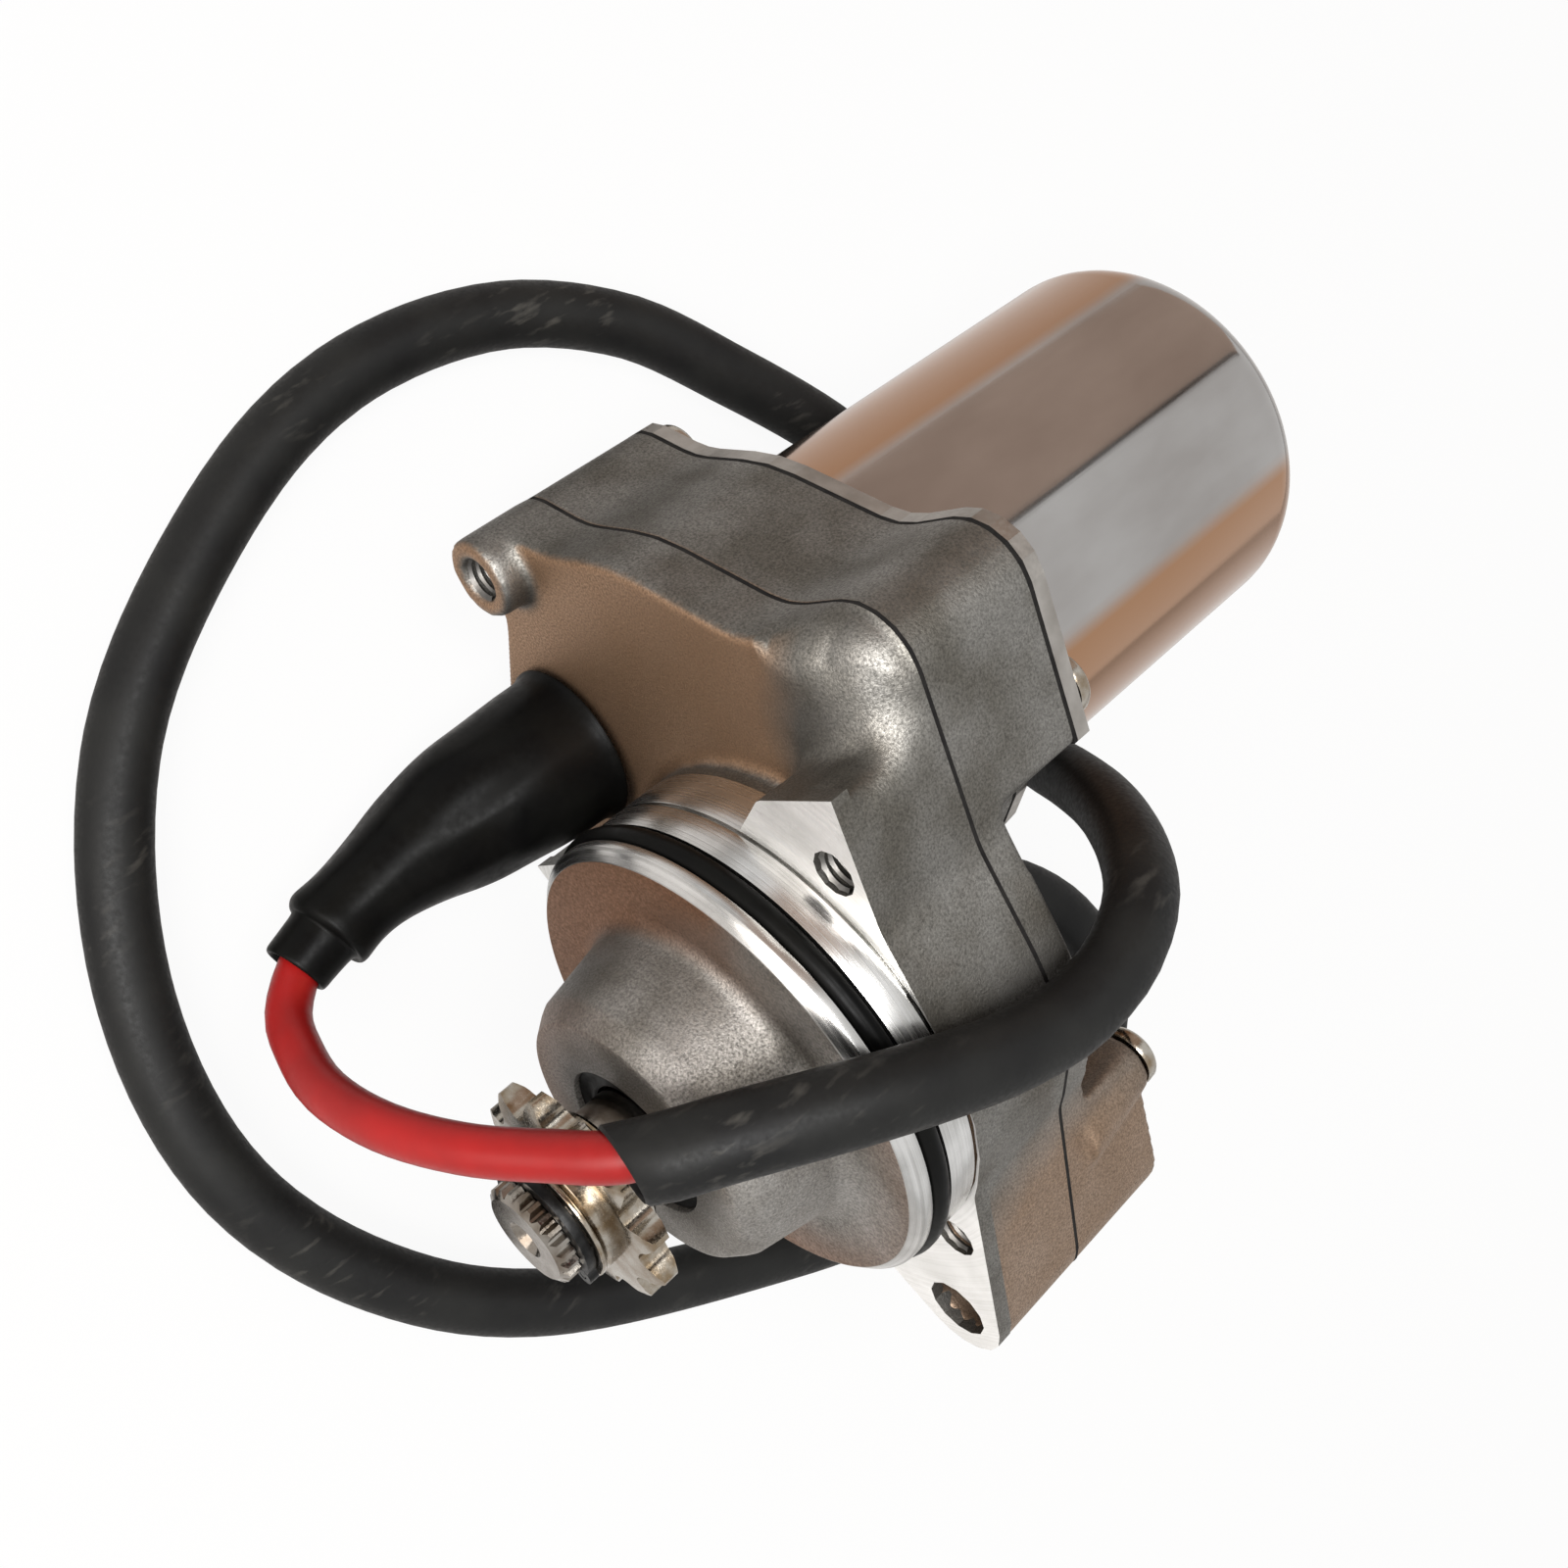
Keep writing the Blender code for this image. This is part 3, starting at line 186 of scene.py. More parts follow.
@dataclass(frozen=True)
class Finish:
    """A surface finish, made once and shared by every piece that wears it."""

    name: str

    def material(self) -> bpy.types.Material:
        """Makes the finish when it is first asked for.

        Returns:
            The finish as a Blender material.
        """
        made = bpy.data.materials.get(self.name)
        if made is None:
            made = bpy.data.materials.new(self.name)
            made.use_nodes = True
            self.paint(made.node_tree, made.node_tree.nodes["Principled BSDF"])
        return made

    def paint(self, tree: bpy.types.NodeTree, shader: bpy.types.Node) -> None:
        """Adds the finish's nodes and links them to the shader."""
        raise NotImplementedError


@dataclass(frozen=True)
class Mottled(Finish):
    """A surface whose colour and gloss wander between two values, for plain and hidden pieces.

    Each is named for its material. The mottling gives the eye the uneven tone that handling, oil, plating
    or pressing leaves, and the fine bump its tooth.
    """

    light: str
    dark: str
    gloss: tuple[float, float]
    metallic: float = 0.0
    patch_mm: float = 4.0
    tooth_mm: float = 0.35
    tooth: float = 0.15
    specular: float = 0.5

    def paint(self, tree: bpy.types.NodeTree, shader: bpy.types.Node) -> None:
        """Mixes the two tones by patches and sets the tooth as bump.

        Args:
            tree: the material's nodes.
            shader: its Principled BSDF.
        """
        place = motor_place(tree)
        patch = add_node(tree, "TexNoise", {"Vector": place, "Scale": 1 / self.patch_mm, "Detail": 5.0})
        grain = add_node(tree, "TexNoise", {"Vector": place, "Scale": 1 / self.tooth_mm, "Detail": 2.0})
        tooth = grain.outputs[0]
        share = add_node(tree, "MapRange", {0: patch.outputs[0], **PATCH_SPAN}).outputs[0]
        tones = {0: share, 6: linear(self.light), 7: linear(self.dark)}
        colour = add_node(tree, "Mix", tones, data_type="RGBA")
        rough = add_node(tree, "MapRange", {0: tooth, **GRAIN_SPAN, 3: self.gloss[0], 4: self.gloss[1]})
        bump = add_node(tree, "Bump", {"Height": tooth, "Strength": self.tooth, "Distance": 0.00005})
        feed(tree, shader, colour.outputs[2], rough.outputs[0], bump.outputs[0])
        shader.inputs["Metallic"].default_value = self.metallic
        shader.inputs["Specular IOR Level"].default_value = self.specular


@dataclass(frozen=True)
class CastAluminium(Finish):
    """Pressure die-cast aluminium, tumbled with grit.

    Grit leaves a matt grey skin that sparkles in small points. Handling leaves darker smudges, and a painted
    brown reflection lies where a piece's own attribute for it puts it.
    """

    light: str = "#706E6A"
    dark: str = "#58554F"
    smudge: str = "#4A3F35"
    # The colour of the painted brown reflection
    painted_reflection: str = "#96785E"
    grit_mm: float = 0.3  # drawn about twice as coarse as real grit, so that it shows
    patch_mm: float = 9.0
    smudge_mm: float = 15.0
    sparkle: tuple[float, float] = (0.55, 1.5)
    gloss: tuple[float, float] = (0.62, 0.4)

    def paint(self, tree: bpy.types.NodeTree, shader: bpy.types.Node) -> None:
        """Lays the grit's sparkle over slow patches, a few smudges and the painted brown reflection.

        Args:
            tree: the material's nodes.
            shader: its Principled BSDF.
        """
        place = motor_place(tree)
        # How much painted brown reflection each point carries, from the piece's own attribute
        painted_reflection = add_node(tree, "Attribute", attribute_name="painted_reflection").outputs["Fac"]
        coarse = {"Vector": place, "Scale": 1 / self.patch_mm, "Detail": 4.0}
        stain = {"Vector": place, "Scale": 1 / self.smudge_mm, "Detail": 6.0, "Distortion": 0.8}
        fine = {"Vector": place, "Scale": 1 / self.grit_mm, "Detail": 3.0, "Roughness": 0.7}
        grit = add_node(tree, "TexNoise", fine).outputs[0]
        patch = add_node(tree, "TexNoise", coarse).outputs[0]
        dirt = add_node(tree, "TexNoise", stain).outputs[0]
        share = add_node(tree, "MapRange", {0: patch, **PATCH_SPAN}).outputs[0]
        dirty = add_node(tree, "MapRange", {0: dirt, 1: 0.55, 2: 0.75, 3: 0.0, 4: 0.4}).outputs[0]
        tones = {0: share, 6: linear(self.light), 7: linear(self.dark)}
        tone = add_node(tree, "Mix", tones, data_type="RGBA").outputs[2]
        soiled = add_node(tree, "Mix", {0: dirty, 6: tone, 7: linear(self.smudge)}, data_type="RGBA")
        reflection_mix = add_node(tree, "Mix", {0: painted_reflection, 6: soiled.outputs[2], 7: linear(self.painted_reflection)}, data_type="RGBA")
        points = {0: grit, 1: 0.32, 2: 0.7, 3: self.sparkle[0], 4: self.sparkle[1]}
        glint = add_node(tree, "MapRange", points).outputs[0]
        colour = add_node(tree, "VectorMath", {0: reflection_mix.outputs[2], 1: glint}, operation="MULTIPLY")
        rough = add_node(tree, "MapRange", {0: grit, **GRAIN_SPAN, 3: self.gloss[0], 4: self.gloss[1]})
        bump = add_node(tree, "Bump", {"Height": grit, "Strength": 0.6, "Distance": 0.0001})
        feed(tree, shader, colour.outputs[0], rough.outputs[0], bump.outputs[0])
        shader.inputs["Metallic"].default_value = 1.0


@dataclass(frozen=True)
class TurnedAluminium(Finish):
    """Aluminium faced and turned on a lathe about the output axis.

    The tool leaves bright fine rings round the axis, which break the reflections into arcs.
    """

    light: str = "#CFCECC"
    dark: str = "#A5A4A1"
    feed_mm: float = 0.35  # drawn coarser than a real 0.1 mm feed, so that it shows
    gloss: tuple[float, float] = (0.18, 0.32)
    patch_mm: float = 6.0

    def paint(self, tree: bpy.types.NodeTree, shader: bpy.types.Node) -> None:
        """Makes the rings from the radius and the place along the axis.

        Args:
            tree: the material's nodes.
            shader: its Principled BSDF.
        """
        place = motor_place(tree)
        split = add_node(tree, "SeparateXYZ", {0: place})
        flat = add_node(tree, "CombineXYZ", {0: split.outputs[0], 2: split.outputs[2]})
        radius = add_node(tree, "VectorMath", {0: flat.outputs[0]}, operation="LENGTH")
        lathe = add_node(tree, "CombineXYZ", {0: radius.outputs["Value"], 1: split.outputs[1]})
        cut = {"Vector": lathe.outputs[0], "Scale": 1 / self.feed_mm, "Detail": 2.0, "Roughness": 0.6}
        rings = add_node(tree, "TexNoise", cut).outputs[0]
        patch = add_node(tree, "TexNoise", {"Vector": place, "Scale": 1 / self.patch_mm, "Detail": 3.0})
        both = add_node(tree, "Math", {0: rings, 1: patch.outputs[0]}, operation="ADD")
        share = add_node(tree, "MapRange", {0: both.outputs[0], 1: 0.75, 2: 1.25}).outputs[0]
        tones = {0: share, 6: linear(self.light), 7: linear(self.dark)}
        colour = add_node(tree, "Mix", tones, data_type="RGBA")
        rough = add_node(tree, "MapRange", {0: rings, **GRAIN_SPAN, 3: self.gloss[0], 4: self.gloss[1]})
        bump = add_node(tree, "Bump", {"Height": rings, "Strength": 0.3, "Distance": 0.00004})
        feed(tree, shader, colour.outputs[2], rough.outputs[0], bump.outputs[0])
        shader.inputs["Metallic"].default_value = 1.0


@dataclass(frozen=True)
class DrawnSteel(Finish):
    """Deep-drawn steel with a bright zinc coat.

    The die drags faint lines along the tube, and the coat mirrors the studio a little cloudily. A tan
    reflection of a brown floor is painted on it where the piece's own attribute for it is high.
    """

    light: str = "#A9A7A5"
    dark: str = "#979390"
    # The colour of the painted tan floor reflection
    reflected_tan: str = "#9E7350"
    line_mm: float = 0.5
    cloud_mm: float = 14.0
    gloss: tuple[float, float] = (0.1, 0.15)

    def paint(self, tree: bpy.types.NodeTree, shader: bpy.types.Node) -> None:
        """Stretches the die lines along the tube, clouds the coat and paints a tan floor reflection on its
        sides.

        Args:
            tree: the material's nodes.
            shader: its Principled BSDF.
        """
        along = motor_place(tree, ARMATURE_AXIS, Vector((1.0, 0.015, 1.0)))
        slow = motor_place(tree, ARMATURE_AXIS, Vector((1.0, 0.4, 1.0)))
        painted_reflection = add_node(tree, "Attribute", attribute_name="painted_reflection").outputs["Fac"]
        drag = {"Vector": along, "Scale": 1 / self.line_mm, "Detail": 3.0}
        lines = add_node(tree, "TexNoise", drag).outputs[0]
        cloud = add_node(tree, "TexNoise", {"Vector": slow, "Scale": 1 / self.cloud_mm, "Detail": 4.0})
        share = add_node(tree, "MapRange", {0: cloud.outputs[0], **PATCH_SPAN}).outputs[0]
        tones = {0: share, 6: linear(self.light), 7: linear(self.dark)}
        coat = add_node(tree, "Mix", tones, data_type="RGBA")
        # Paints the tan floor reflection where the piece's own attribute asks for it
        colour = add_node(tree, "Mix", {0: painted_reflection, 6: coat.outputs[2], 7: linear(self.reflected_tan)}, data_type="RGBA")
        rough = add_node(tree, "MapRange", {0: lines, **GRAIN_SPAN, 3: self.gloss[0], 4: self.gloss[1]})
        bump = add_node(tree, "Bump", {"Height": lines, "Strength": 0.12, "Distance": 0.00004})
        feed(tree, shader, colour.outputs[2], rough.outputs[0], bump.outputs[0])
        shader.inputs["Metallic"].default_value = 1.0


@dataclass(frozen=True)
class ExtrudedSleeve(Finish):
    """Soft black PVC sleeving, extruded and handled.

    It is satin black with a dusty bloom, and rubbing leaves pale scuffs in short strokes.
    """

    black: str = "#101010"
    bloom: str = "#181817"
    scuff: str = "#45433F"
    scuff_mm: float = 1.1
    bloom_mm: float = 10.0
    tooth_mm: float = 0.6
    wear_mm: float = 17.0
    gloss: tuple[float, float] = (0.42, 0.58)
    specular: float = 0.11

    def paint(self, tree: bpy.types.NodeTree, shader: bpy.types.Node) -> None:
        """Blooms the black, then strokes the scuffs over it in patches.

        Args:
            tree: the material's nodes.
            shader: its Principled BSDF.
        """
        place = motor_place(tree)
        stroke = motor_place(tree, stretch=Vector((1.0, 0.22, 0.55)))
        bloom = add_node(tree, "TexNoise", {"Vector": place, "Scale": 1 / self.bloom_mm, "Detail": 4.0})
        grain = add_node(tree, "TexNoise", {"Vector": place, "Scale": 1 / self.tooth_mm, "Detail": 2.0})
        tooth = grain.outputs[0]
        rub = add_node(tree, "TexNoise", {"Vector": stroke, "Scale": 1 / self.scuff_mm, "Detail": 4.0})
        where = add_node(tree, "TexNoise", {"Vector": place, "Scale": 1 / self.wear_mm, "Detail": 2.0})
        share = add_node(tree, "MapRange", {0: bloom.outputs[0], 1: 0.35, 2: 0.7}).outputs[0]
        tones = {0: share, 6: linear(self.black), 7: linear(self.bloom)}
        tone = add_node(tree, "Mix", tones, data_type="RGBA")
        strokes = add_node(tree, "MapRange", {0: rub.outputs[0], 1: 0.56, 2: 0.72, 3: 0.0, 4: 0.5})
        patches = add_node(tree, "MapRange", {0: where.outputs[0], 1: 0.5, 2: 0.68})
        worn = add_node(tree, "Math", {0: strokes.outputs[0], 1: patches.outputs[0]}, operation="MULTIPLY")
        rubbed = {0: worn.outputs[0], 6: tone.outputs[2], 7: linear(self.scuff)}
        colour = add_node(tree, "Mix", rubbed, data_type="RGBA")
        rough = add_node(tree, "MapRange", {0: tooth, **GRAIN_SPAN, 3: self.gloss[0], 4: self.gloss[1]})
        bump = add_node(tree, "Bump", {"Height": tooth, "Strength": 0.12, "Distance": 0.00005})
        feed(tree, shader, colour.outputs[2], rough.outputs[0], bump.outputs[0])
        shader.inputs["Specular IOR Level"].default_value = self.specular


CAST = CastAluminium("die_cast_aluminium")
# The same casting on the nose, painted lighter all over as a painted highlight, with a darker painted brown
# reflection.
CAST_NOSE_PAINTED_LIGHT = CastAluminium("die_cast_aluminium_nose_painted_light", light="#8A8783", dark="#6B6761", painted_reflection="#76533A")
TURNED = TurnedAluminium("lathe_turned_aluminium")
# Faced flat with an interrupted cut: paler and more satin than the turned pilot.
FACED = TurnedAluminium("lathe_faced_aluminium", "#F0EFED", "#D6D5D2", 0.35, (0.48, 0.6))
DRAWN = DrawnSteel("drawn_zinc_coated_steel")
SLEEVING = ExtrudedSleeve("extruded_pvc_sleeving")
# Bright zinc plate: warm silver, browner where the passivate is thick.
ZINC = Mottled("bright_zinc_plated_steel", "#A9A49B", "#7F6F5A", (0.14, 0.28), 1.0, 2.2, 0.25, 0.12)
# Rolled steel sheet under a zinc coat that is duller than the can's.
SHEET = Mottled("zinc_coated_sheet_steel", "#A29E99", "#85807A", (0.32, 0.46), 1.0, 6.0, 0.5, 0.1)
# Ground and hardened steel: bright, and browned in patches by a thin film of old oil.
GROUND = Mottled("ground_hardened_steel", "#97928B", "#6B6156", (0.14, 0.26), 1.0, 3.0, 0.3, 0.08)
# Chemically blackened spring steel: deep grey-black with a dull metal edge.
BLACKED = Mottled("black_oxide_spring_steel", "#2B2B2B", "#171717", (0.35, 0.5), 0.9, 1.5, 0.3, 0.2)
# Moulded nitrile rubber: near black, semi-gloss where the mould was polished.
RUBBER = Mottled("moulded_nitrile_rubber", "#060606", "#0A0A09", (0.28, 0.42), 0.0, 6.0, 0.9, 0.1, 0.05)
# Satin PVC wire insulation: deep red, a little duller in patches.
RED_PVC = Mottled("extruded_red_pvc", "#7C0F0E", "#6F0E0D", (0.34, 0.46), 0.0, 7.0, 0.7, 0.05, 0.25)
# Graphite-filled gasket paper: flat black with a fibrous edge.
GASKET = Mottled("graphited_gasket_paper", "#0F0E0E", "#191817", (0.8, 0.95), 0.0, 2.0, 0.4, 0.5, 0.1)
# Sintered oil bronze: brown-gold and finely porous.
BRONZE = Mottled("sintered_oil_bronze", "#A9793F", "#7F5A2F", (0.4, 0.55), 1.0, 1.5, 0.3, 0.4)
# Hard-drawn copper bars and enamelled turns: warm, with darker varnish in the hollows.
COPPER = Mottled("varnished_copper", "#B5653A", "#7C3F22", (0.28, 0.45), 1.0, 2.5, 0.4, 0.2)
# Pressed brass, slightly tarnished.
BRASS = Mottled("pressed_brass", "#C2A052", "#96783A", (0.28, 0.42), 1.0, 3.0, 0.4, 0.15)
# Tin plate over copper, as on crimped lugs: soft silver with dull patches.
TINNED = Mottled("tin_plated_copper", "#C9C5BC", "#A49E92", (0.28, 0.42), 1.0, 2.2, 0.3, 0.15)
# Sintered ferrite: charcoal, ground on the bore.
FERRITE = Mottled("sintered_ferrite", "#2E2D2E", "#1F1E1F", (0.55, 0.75), 0.0, 3.0, 0.3, 0.3)
# Paper-filled phenolic board: brown, with a dull pressed sheen.
PHENOLIC = Mottled("pressed_phenolic", "#5B3A22", "#45291A", (0.45, 0.6), 0.0, 3.0, 0.3, 0.2)
# Copper-graphite brush: dark grey with a metallic bloom.
CARBON = Mottled("copper_graphite", "#2C2A28", "#1C1B1A", (0.5, 0.7), 0.2, 1.2, 0.2, 0.3)
# Stamped silicon-steel laminations and cut gear steel: dull dark grey, as the oily tapped threads are.
CORE = Mottled("stamped_core_steel", "#7E7C79", "#5E5C59", (0.4, 0.55), 1.0, 3.0, 0.4, 0.2)


# Shaping


def ramp(value: float, start: float, end: float) -> float:
    """How far a value has gone from a start to an end, held between 0 and 1."""
    return min(1.0, max(0.0, (value - start) / (end - start)))


def points_in(geometry: Sequence[object]) -> list[bmesh.types.BMVert]:
    """The points among the geometry that an operator gives back."""
    return [part for part in geometry if isinstance(part, bmesh.types.BMVert)]


def edges_at(verts: Sequence[bmesh.types.BMVert]) -> list[bmesh.types.BMEdge]:
    """The edges at some points, each once, in the same order on every run."""
    return list(dict.fromkeys(edge for vert in verts for edge in vert.link_edges))


def as_mesh(shape: bmesh.types.BMesh, name: str) -> bpy.types.Mesh:
    """Turns a shape into a mesh.

    Args:
        shape: the shape, which is used up.
        name: the mesh's name.

    Returns:
        The mesh.
    """
    mesh = bpy.data.meshes.new(name)
    shape.to_mesh(mesh)
    shape.free()
    return mesh


def make_piece(
    shape: bmesh.types.BMesh,
    name: str,
    body: Body,
    finishes: Sequence[Finish],
    nodes: Sequence[str] = (),
    sharp_deg: float = 38.0,
) -> bpy.types.Object:
    """Turns a shape in motor millimetres into a finished piece that rides on a body.

    Args:
        shape: the shape, which is used up.
        name: the piece's name.
        body: the body that it rides on.
        finishes: its finishes, in the order of its faces' material numbers.
        nodes: the CAD nodes that it stands for.
        sharp_deg: edges that turn by more than this stay crisp.

    Returns:
        The new object, at the origin with its place in its mesh.
    """
    bmesh.ops.transform(shape, matrix=TO_ROW, space=Matrix.Identity(4), verts=shape.verts)
    mesh = as_mesh(shape, name)
    for finish in finishes:
        mesh.materials.append(finish.material())
    mesh.shade_smooth()
    mesh.set_sharp_from_angle(angle=math.radians(sharp_deg))
    piece = bpy.data.objects.new(name, mesh)
    bpy.context.scene.collection.objects.link(piece)
    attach(piece, body.value)
    if nodes:
        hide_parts(*nodes)
    LOG.info("%s: %d faces on %s", name, len(mesh.polygons), body.value)
    return piece


def close_up(shape: bmesh.types.BMesh) -> None:
    """Merges doubled points and turns every face outwards."""
    bmesh.ops.remove_doubles(shape, verts=shape.verts, dist=0.0005)
    bmesh.ops.recalc_face_normals(shape, faces=shape.faces)


def turn(shape: bmesh.types.BMesh, profile: Profile, axis: Vector = OUTPUT_AXIS, steps: int = 96) -> None:
    """Spins a profile of (radius, y) round a line along Y.

    Args:
        shape: the shape that it is added to.
        profile: the points, front first along the outside. One that leaves the axis comes back to it,
            and any other is a closed loop.
        axis: a point on the line.
        steps: how many facets go round.
    """
    verts = [shape.verts.new((axis.x + radius, y, axis.z)) for radius, y in profile]
    pairs = list(zip(verts, verts[1:]))
    if profile[0][0] > 0:
        pairs.append((verts[-1], verts[0]))
    edges = [shape.edges.new(pair) for pair in pairs]
    bmesh.ops.spin(
        shape,
        geom=[*verts, *edges],
        cent=axis,
        axis=ALONG_Y,
        angle=math.tau,
        steps=steps,
        use_merge=True,
        use_duplicate=False,
    )
    close_up(shape)


def turned_shape(profile: Profile, axis: Vector = OUTPUT_AXIS, steps: int = 96) -> bmesh.types.BMesh:
    """Makes a new shape by turning one profile.

    Args:
        profile: the points, as turn takes them.
        axis: a point on the line that it is turned round.
        steps: how many facets go round.

    Returns:
        The shape.
    """
    shape = bmesh.new()
    turn(shape, profile, axis, steps)
    return shape


def round_edges(
    shape: bmesh.types.BMesh, edges: Sequence[bmesh.types.BMEdge], width: float, segments: int
) -> None:
    """Rounds some of a shape's edges.

    Args:
        shape: the shape.
        edges: the edges to round.
        width: how far the rounding reaches from each edge.
        segments: the facets of the rounding.
    """
    bmesh.ops.bevel(
        shape,
        geom=edges,
        offset=width,
        offset_type="OFFSET",
        segments=segments,
        profile=0.5,
        affect="EDGES",
        material=-1,
        clamp_overlap=True,
    )


def ease(shape: bmesh.types.BMesh, width: float, segments: int = 2, beyond_deg: float = 25.0) -> None:
    """Rounds every edge that is sharper than an angle.

    Args:
        shape: the shape to ease.
        width: how far the rounding reaches from each edge.
        segments: the facets of the rounding.
        beyond_deg: edges that turn by less than this are left.
    """
    limit = math.radians(beyond_deg)
    inner = [edge for edge in shape.edges if len(edge.link_faces) == 2]
    round_edges(shape, [edge for edge in inner if edge.calc_face_angle(0.0) > limit], width, segments)


def modified(
    shape: bmesh.types.BMesh, kind: str, tool: bmesh.types.BMesh | None = None, **settings: object
) -> bmesh.types.BMesh:
    """Passes a shape through one of Blender's modifiers.

    Args:
        shape: the shape, which is used up.
        kind: the modifier's type.
        tool: for a Boolean, the other shape, which is used up too.
        settings: the modifier's properties.

    Returns:
        The result as a new shape.
    """
    made = []
    for source in filter(None, (shape, tool)):
        made.append(bpy.data.objects.new("work", as_mesh(source, "work")))
        bpy.context.scene.collection.objects.link(made[-1])
    modifier = made[0].modifiers.new("work", kind)
    if tool is not None:
        modifier.object = made[1]
    for name, value in settings.items():
        setattr(modifier, name, value)
    bpy.context.view_layer.update()
    result = bmesh.new()
    result.from_object(made[0], bpy.context.evaluated_depsgraph_get())
    for obj in made:
        mesh = obj.data
        bpy.data.objects.remove(obj)
        bpy.data.meshes.remove(mesh)
    return result


def combined(shape: bmesh.types.BMesh, tool: bmesh.types.BMesh, operation: str) -> bmesh.types.BMesh:
    """Joins, cuts or intersects two closed shapes, using both up."""
    return modified(shape, "BOOLEAN", tool, operation=operation, solver="EXACT")


def node_copy(node: str) -> bmesh.types.BMesh:
    """Copies a CAD node's mesh.

    Args:
        node: the node's name.

    Returns:
        The copy, merged and in motor millimetres.
    """
    shape = bmesh.new()
    shape.from_mesh(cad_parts[node].data)
    bmesh.ops.transform(shape, matrix=TO_MOTOR, space=Matrix.Identity(4), verts=shape.verts)
    bmesh.ops.remove_doubles(shape, verts=shape.verts, dist=0.002)
    return shape


def cut_flat(shape: bmesh.types.BMesh, station: float, side: int) -> None:
    """Cuts away what stands on one side of a station along Y, and closes the cut.

    Args:
        shape: the shape to cut.
        station: the cut's place along Y.
        side: -1 to cut away what is in front, 1 for what is behind.
    """
    outward = (0.0, float(side), 0.0)
    cut = bmesh.ops.bisect_plane(
        shape,
        geom=[*shape.verts, *shape.edges, *shape.faces],
        dist=0.0005,
        plane_co=(0.0, station, 0.0),
        plane_no=outward,
        clear_outer=True,
    )
    rim = [part for part in cut["geom_cut"] if isinstance(part, bmesh.types.BMEdge)]
    bmesh.ops.triangle_fill(shape, use_beauty=True, use_dissolve=False, edges=rim, normal=outward)
    bmesh.ops.recalc_face_normals(shape, faces=shape.faces)


def lay_painted_reflection(
    shape: bmesh.types.BMesh,
    facing: Vector,
    clear: float,
    full: float,
    most: float,
    axis: Vector | None = None,
    spent: tuple[float, float] = (2.0, 3.0),
    marks: Sequence[tuple[Vector, float, float, float]] = (),
) -> None:
    """Marks how much painted reflection lies on each point by the way it faces.

    Args:
        shape: the shape, which gets a layer that holds it.
        facing: the way that the sides with the painted reflection face.
        clear: the share of facing below which there is no painted reflection.
        full: the share from which the painted reflection is at its most.
        most: the painted reflection's greatest share.
        axis: for a tube along Y, a point on its axis, which its points then face away from.
        spent: the shares of facing between which the painted reflection fades out again.
        marks: places with a share of their own, as a middle, the radius that has it, the radius where it
            has faded, and the share.
    """
    layer = shape.verts.layers.float.new("painted_reflection")
    shape.normal_update()
    for vert in shape.verts:
        outward = vert.normal
        if axis is not None:
            outward = (vert.co - axis) * Vector((1.0, 0.0, 1.0))
            outward.normalize()
        towards = outward.dot(facing)
        share = ramp(towards, clear, full) * ramp(towards, spent[1], spent[0])
        for middle, inner, outer, own in marks:
            away = ramp((vert.co - middle).length, inner, outer)
            share = own + (share - own) * away
        vert[layer] = most * share


def soften(skin: bmesh.types.BMesh, verts: Sequence[bmesh.types.BMVert], passes: int) -> None:
    """Smooths some of a skin's points.

    Args:
        skin: the skin.
        verts: the points.
        passes: how often they are smoothed.
    """
    for _ in range(passes):
        bmesh.ops.smooth_vert(
            skin, verts=verts, factor=0.5, use_axis_x=True, use_axis_y=True, use_axis_z=True
        )


def recast(shape: bmesh.types.BMesh, grid: float, passes: int) -> bmesh.types.BMesh:
    """Remakes a solid as a fine skin with the soft edges of a casting.

    Args:
        shape: the solid, which is used up.
        grid: the size of the skin's faces.
        passes: how often it is smoothed.

    Returns:
        The skin.
    """
    skin = modified(shape, "REMESH", mode="VOXEL", voxel_size=grid)
    soften(skin, skin.verts, passes)
    return skin


def smooth_route(
    stations: Sequence[tuple], spacing: float, before: tuple | None = None, after: tuple | None = None
) -> list[Vector]:
    """Evenly spaced points on a smooth curve through listed stations.

    Args:
        stations: the points that the curve passes.
        spacing: about how far apart the result's points are.
        before: the nearest station of a route that leads in.
        after: the nearest station of a route that carries on.

    Returns:
        The points, with both ends among them.
    """
    points = [Vector(station) for station in stations]
    last = len(points) - 1
    guides = [Vector(before or points[0]), *points, Vector(after or points[last])]
    fine = 24
    dense = []
    for i in range(last):
        start, end = points[i], points[i + 1]
        leave, arrive = (end - guides[i]) / 2, (guides[i + 3] - start) / 2
        for k in range(fine):
            t = k / fine
            dense.append(
                start * (2 * t**3 - 3 * t**2 + 1)
                + leave * (t**3 - 2 * t**2 + t)
                + end * (3 * t**2 - 2 * t**3)
                + arrive * (t**3 - t**2)
            )
    dense.append(points[last])
    steps = [(second - first).length for first, second in zip(dense, dense[1:])]
    count = round(sum(steps) / spacing)
    target = sum(steps) / count
    route, walked = [dense[0]], 0.0
    for point, step in zip(dense[1:], steps):
        walked += step
        if walked >= target * len(route) and len(route) < count:
            route.append(point)
    return [*route, dense[-1]]


def route_frames(points: Sequence[Vector]) -> list[Matrix]:
    """Frames that carry a ring along a route without twisting it.

    Args:
        points: the route.

    Returns:
        One matrix for each point, with its Z along the route.
    """
    ends = [points[0], *points, points[-1]]
    headings = [(ends[k + 2] - ends[k]).normalized() for k in range(len(points))]
    side = headings[0].orthogonal().normalized()
    frames = []
    for k, (point, heading) in enumerate(zip(points, headings)):
        if k:
            side = headings[k - 1].rotation_difference(heading) @ side
        side = (side - heading * side.dot(heading)).normalized()
        turned = Matrix((side, heading.cross(side), heading)).transposed().to_4x4()
        frames.append(Matrix.Translation(point) @ turned)
    return frames


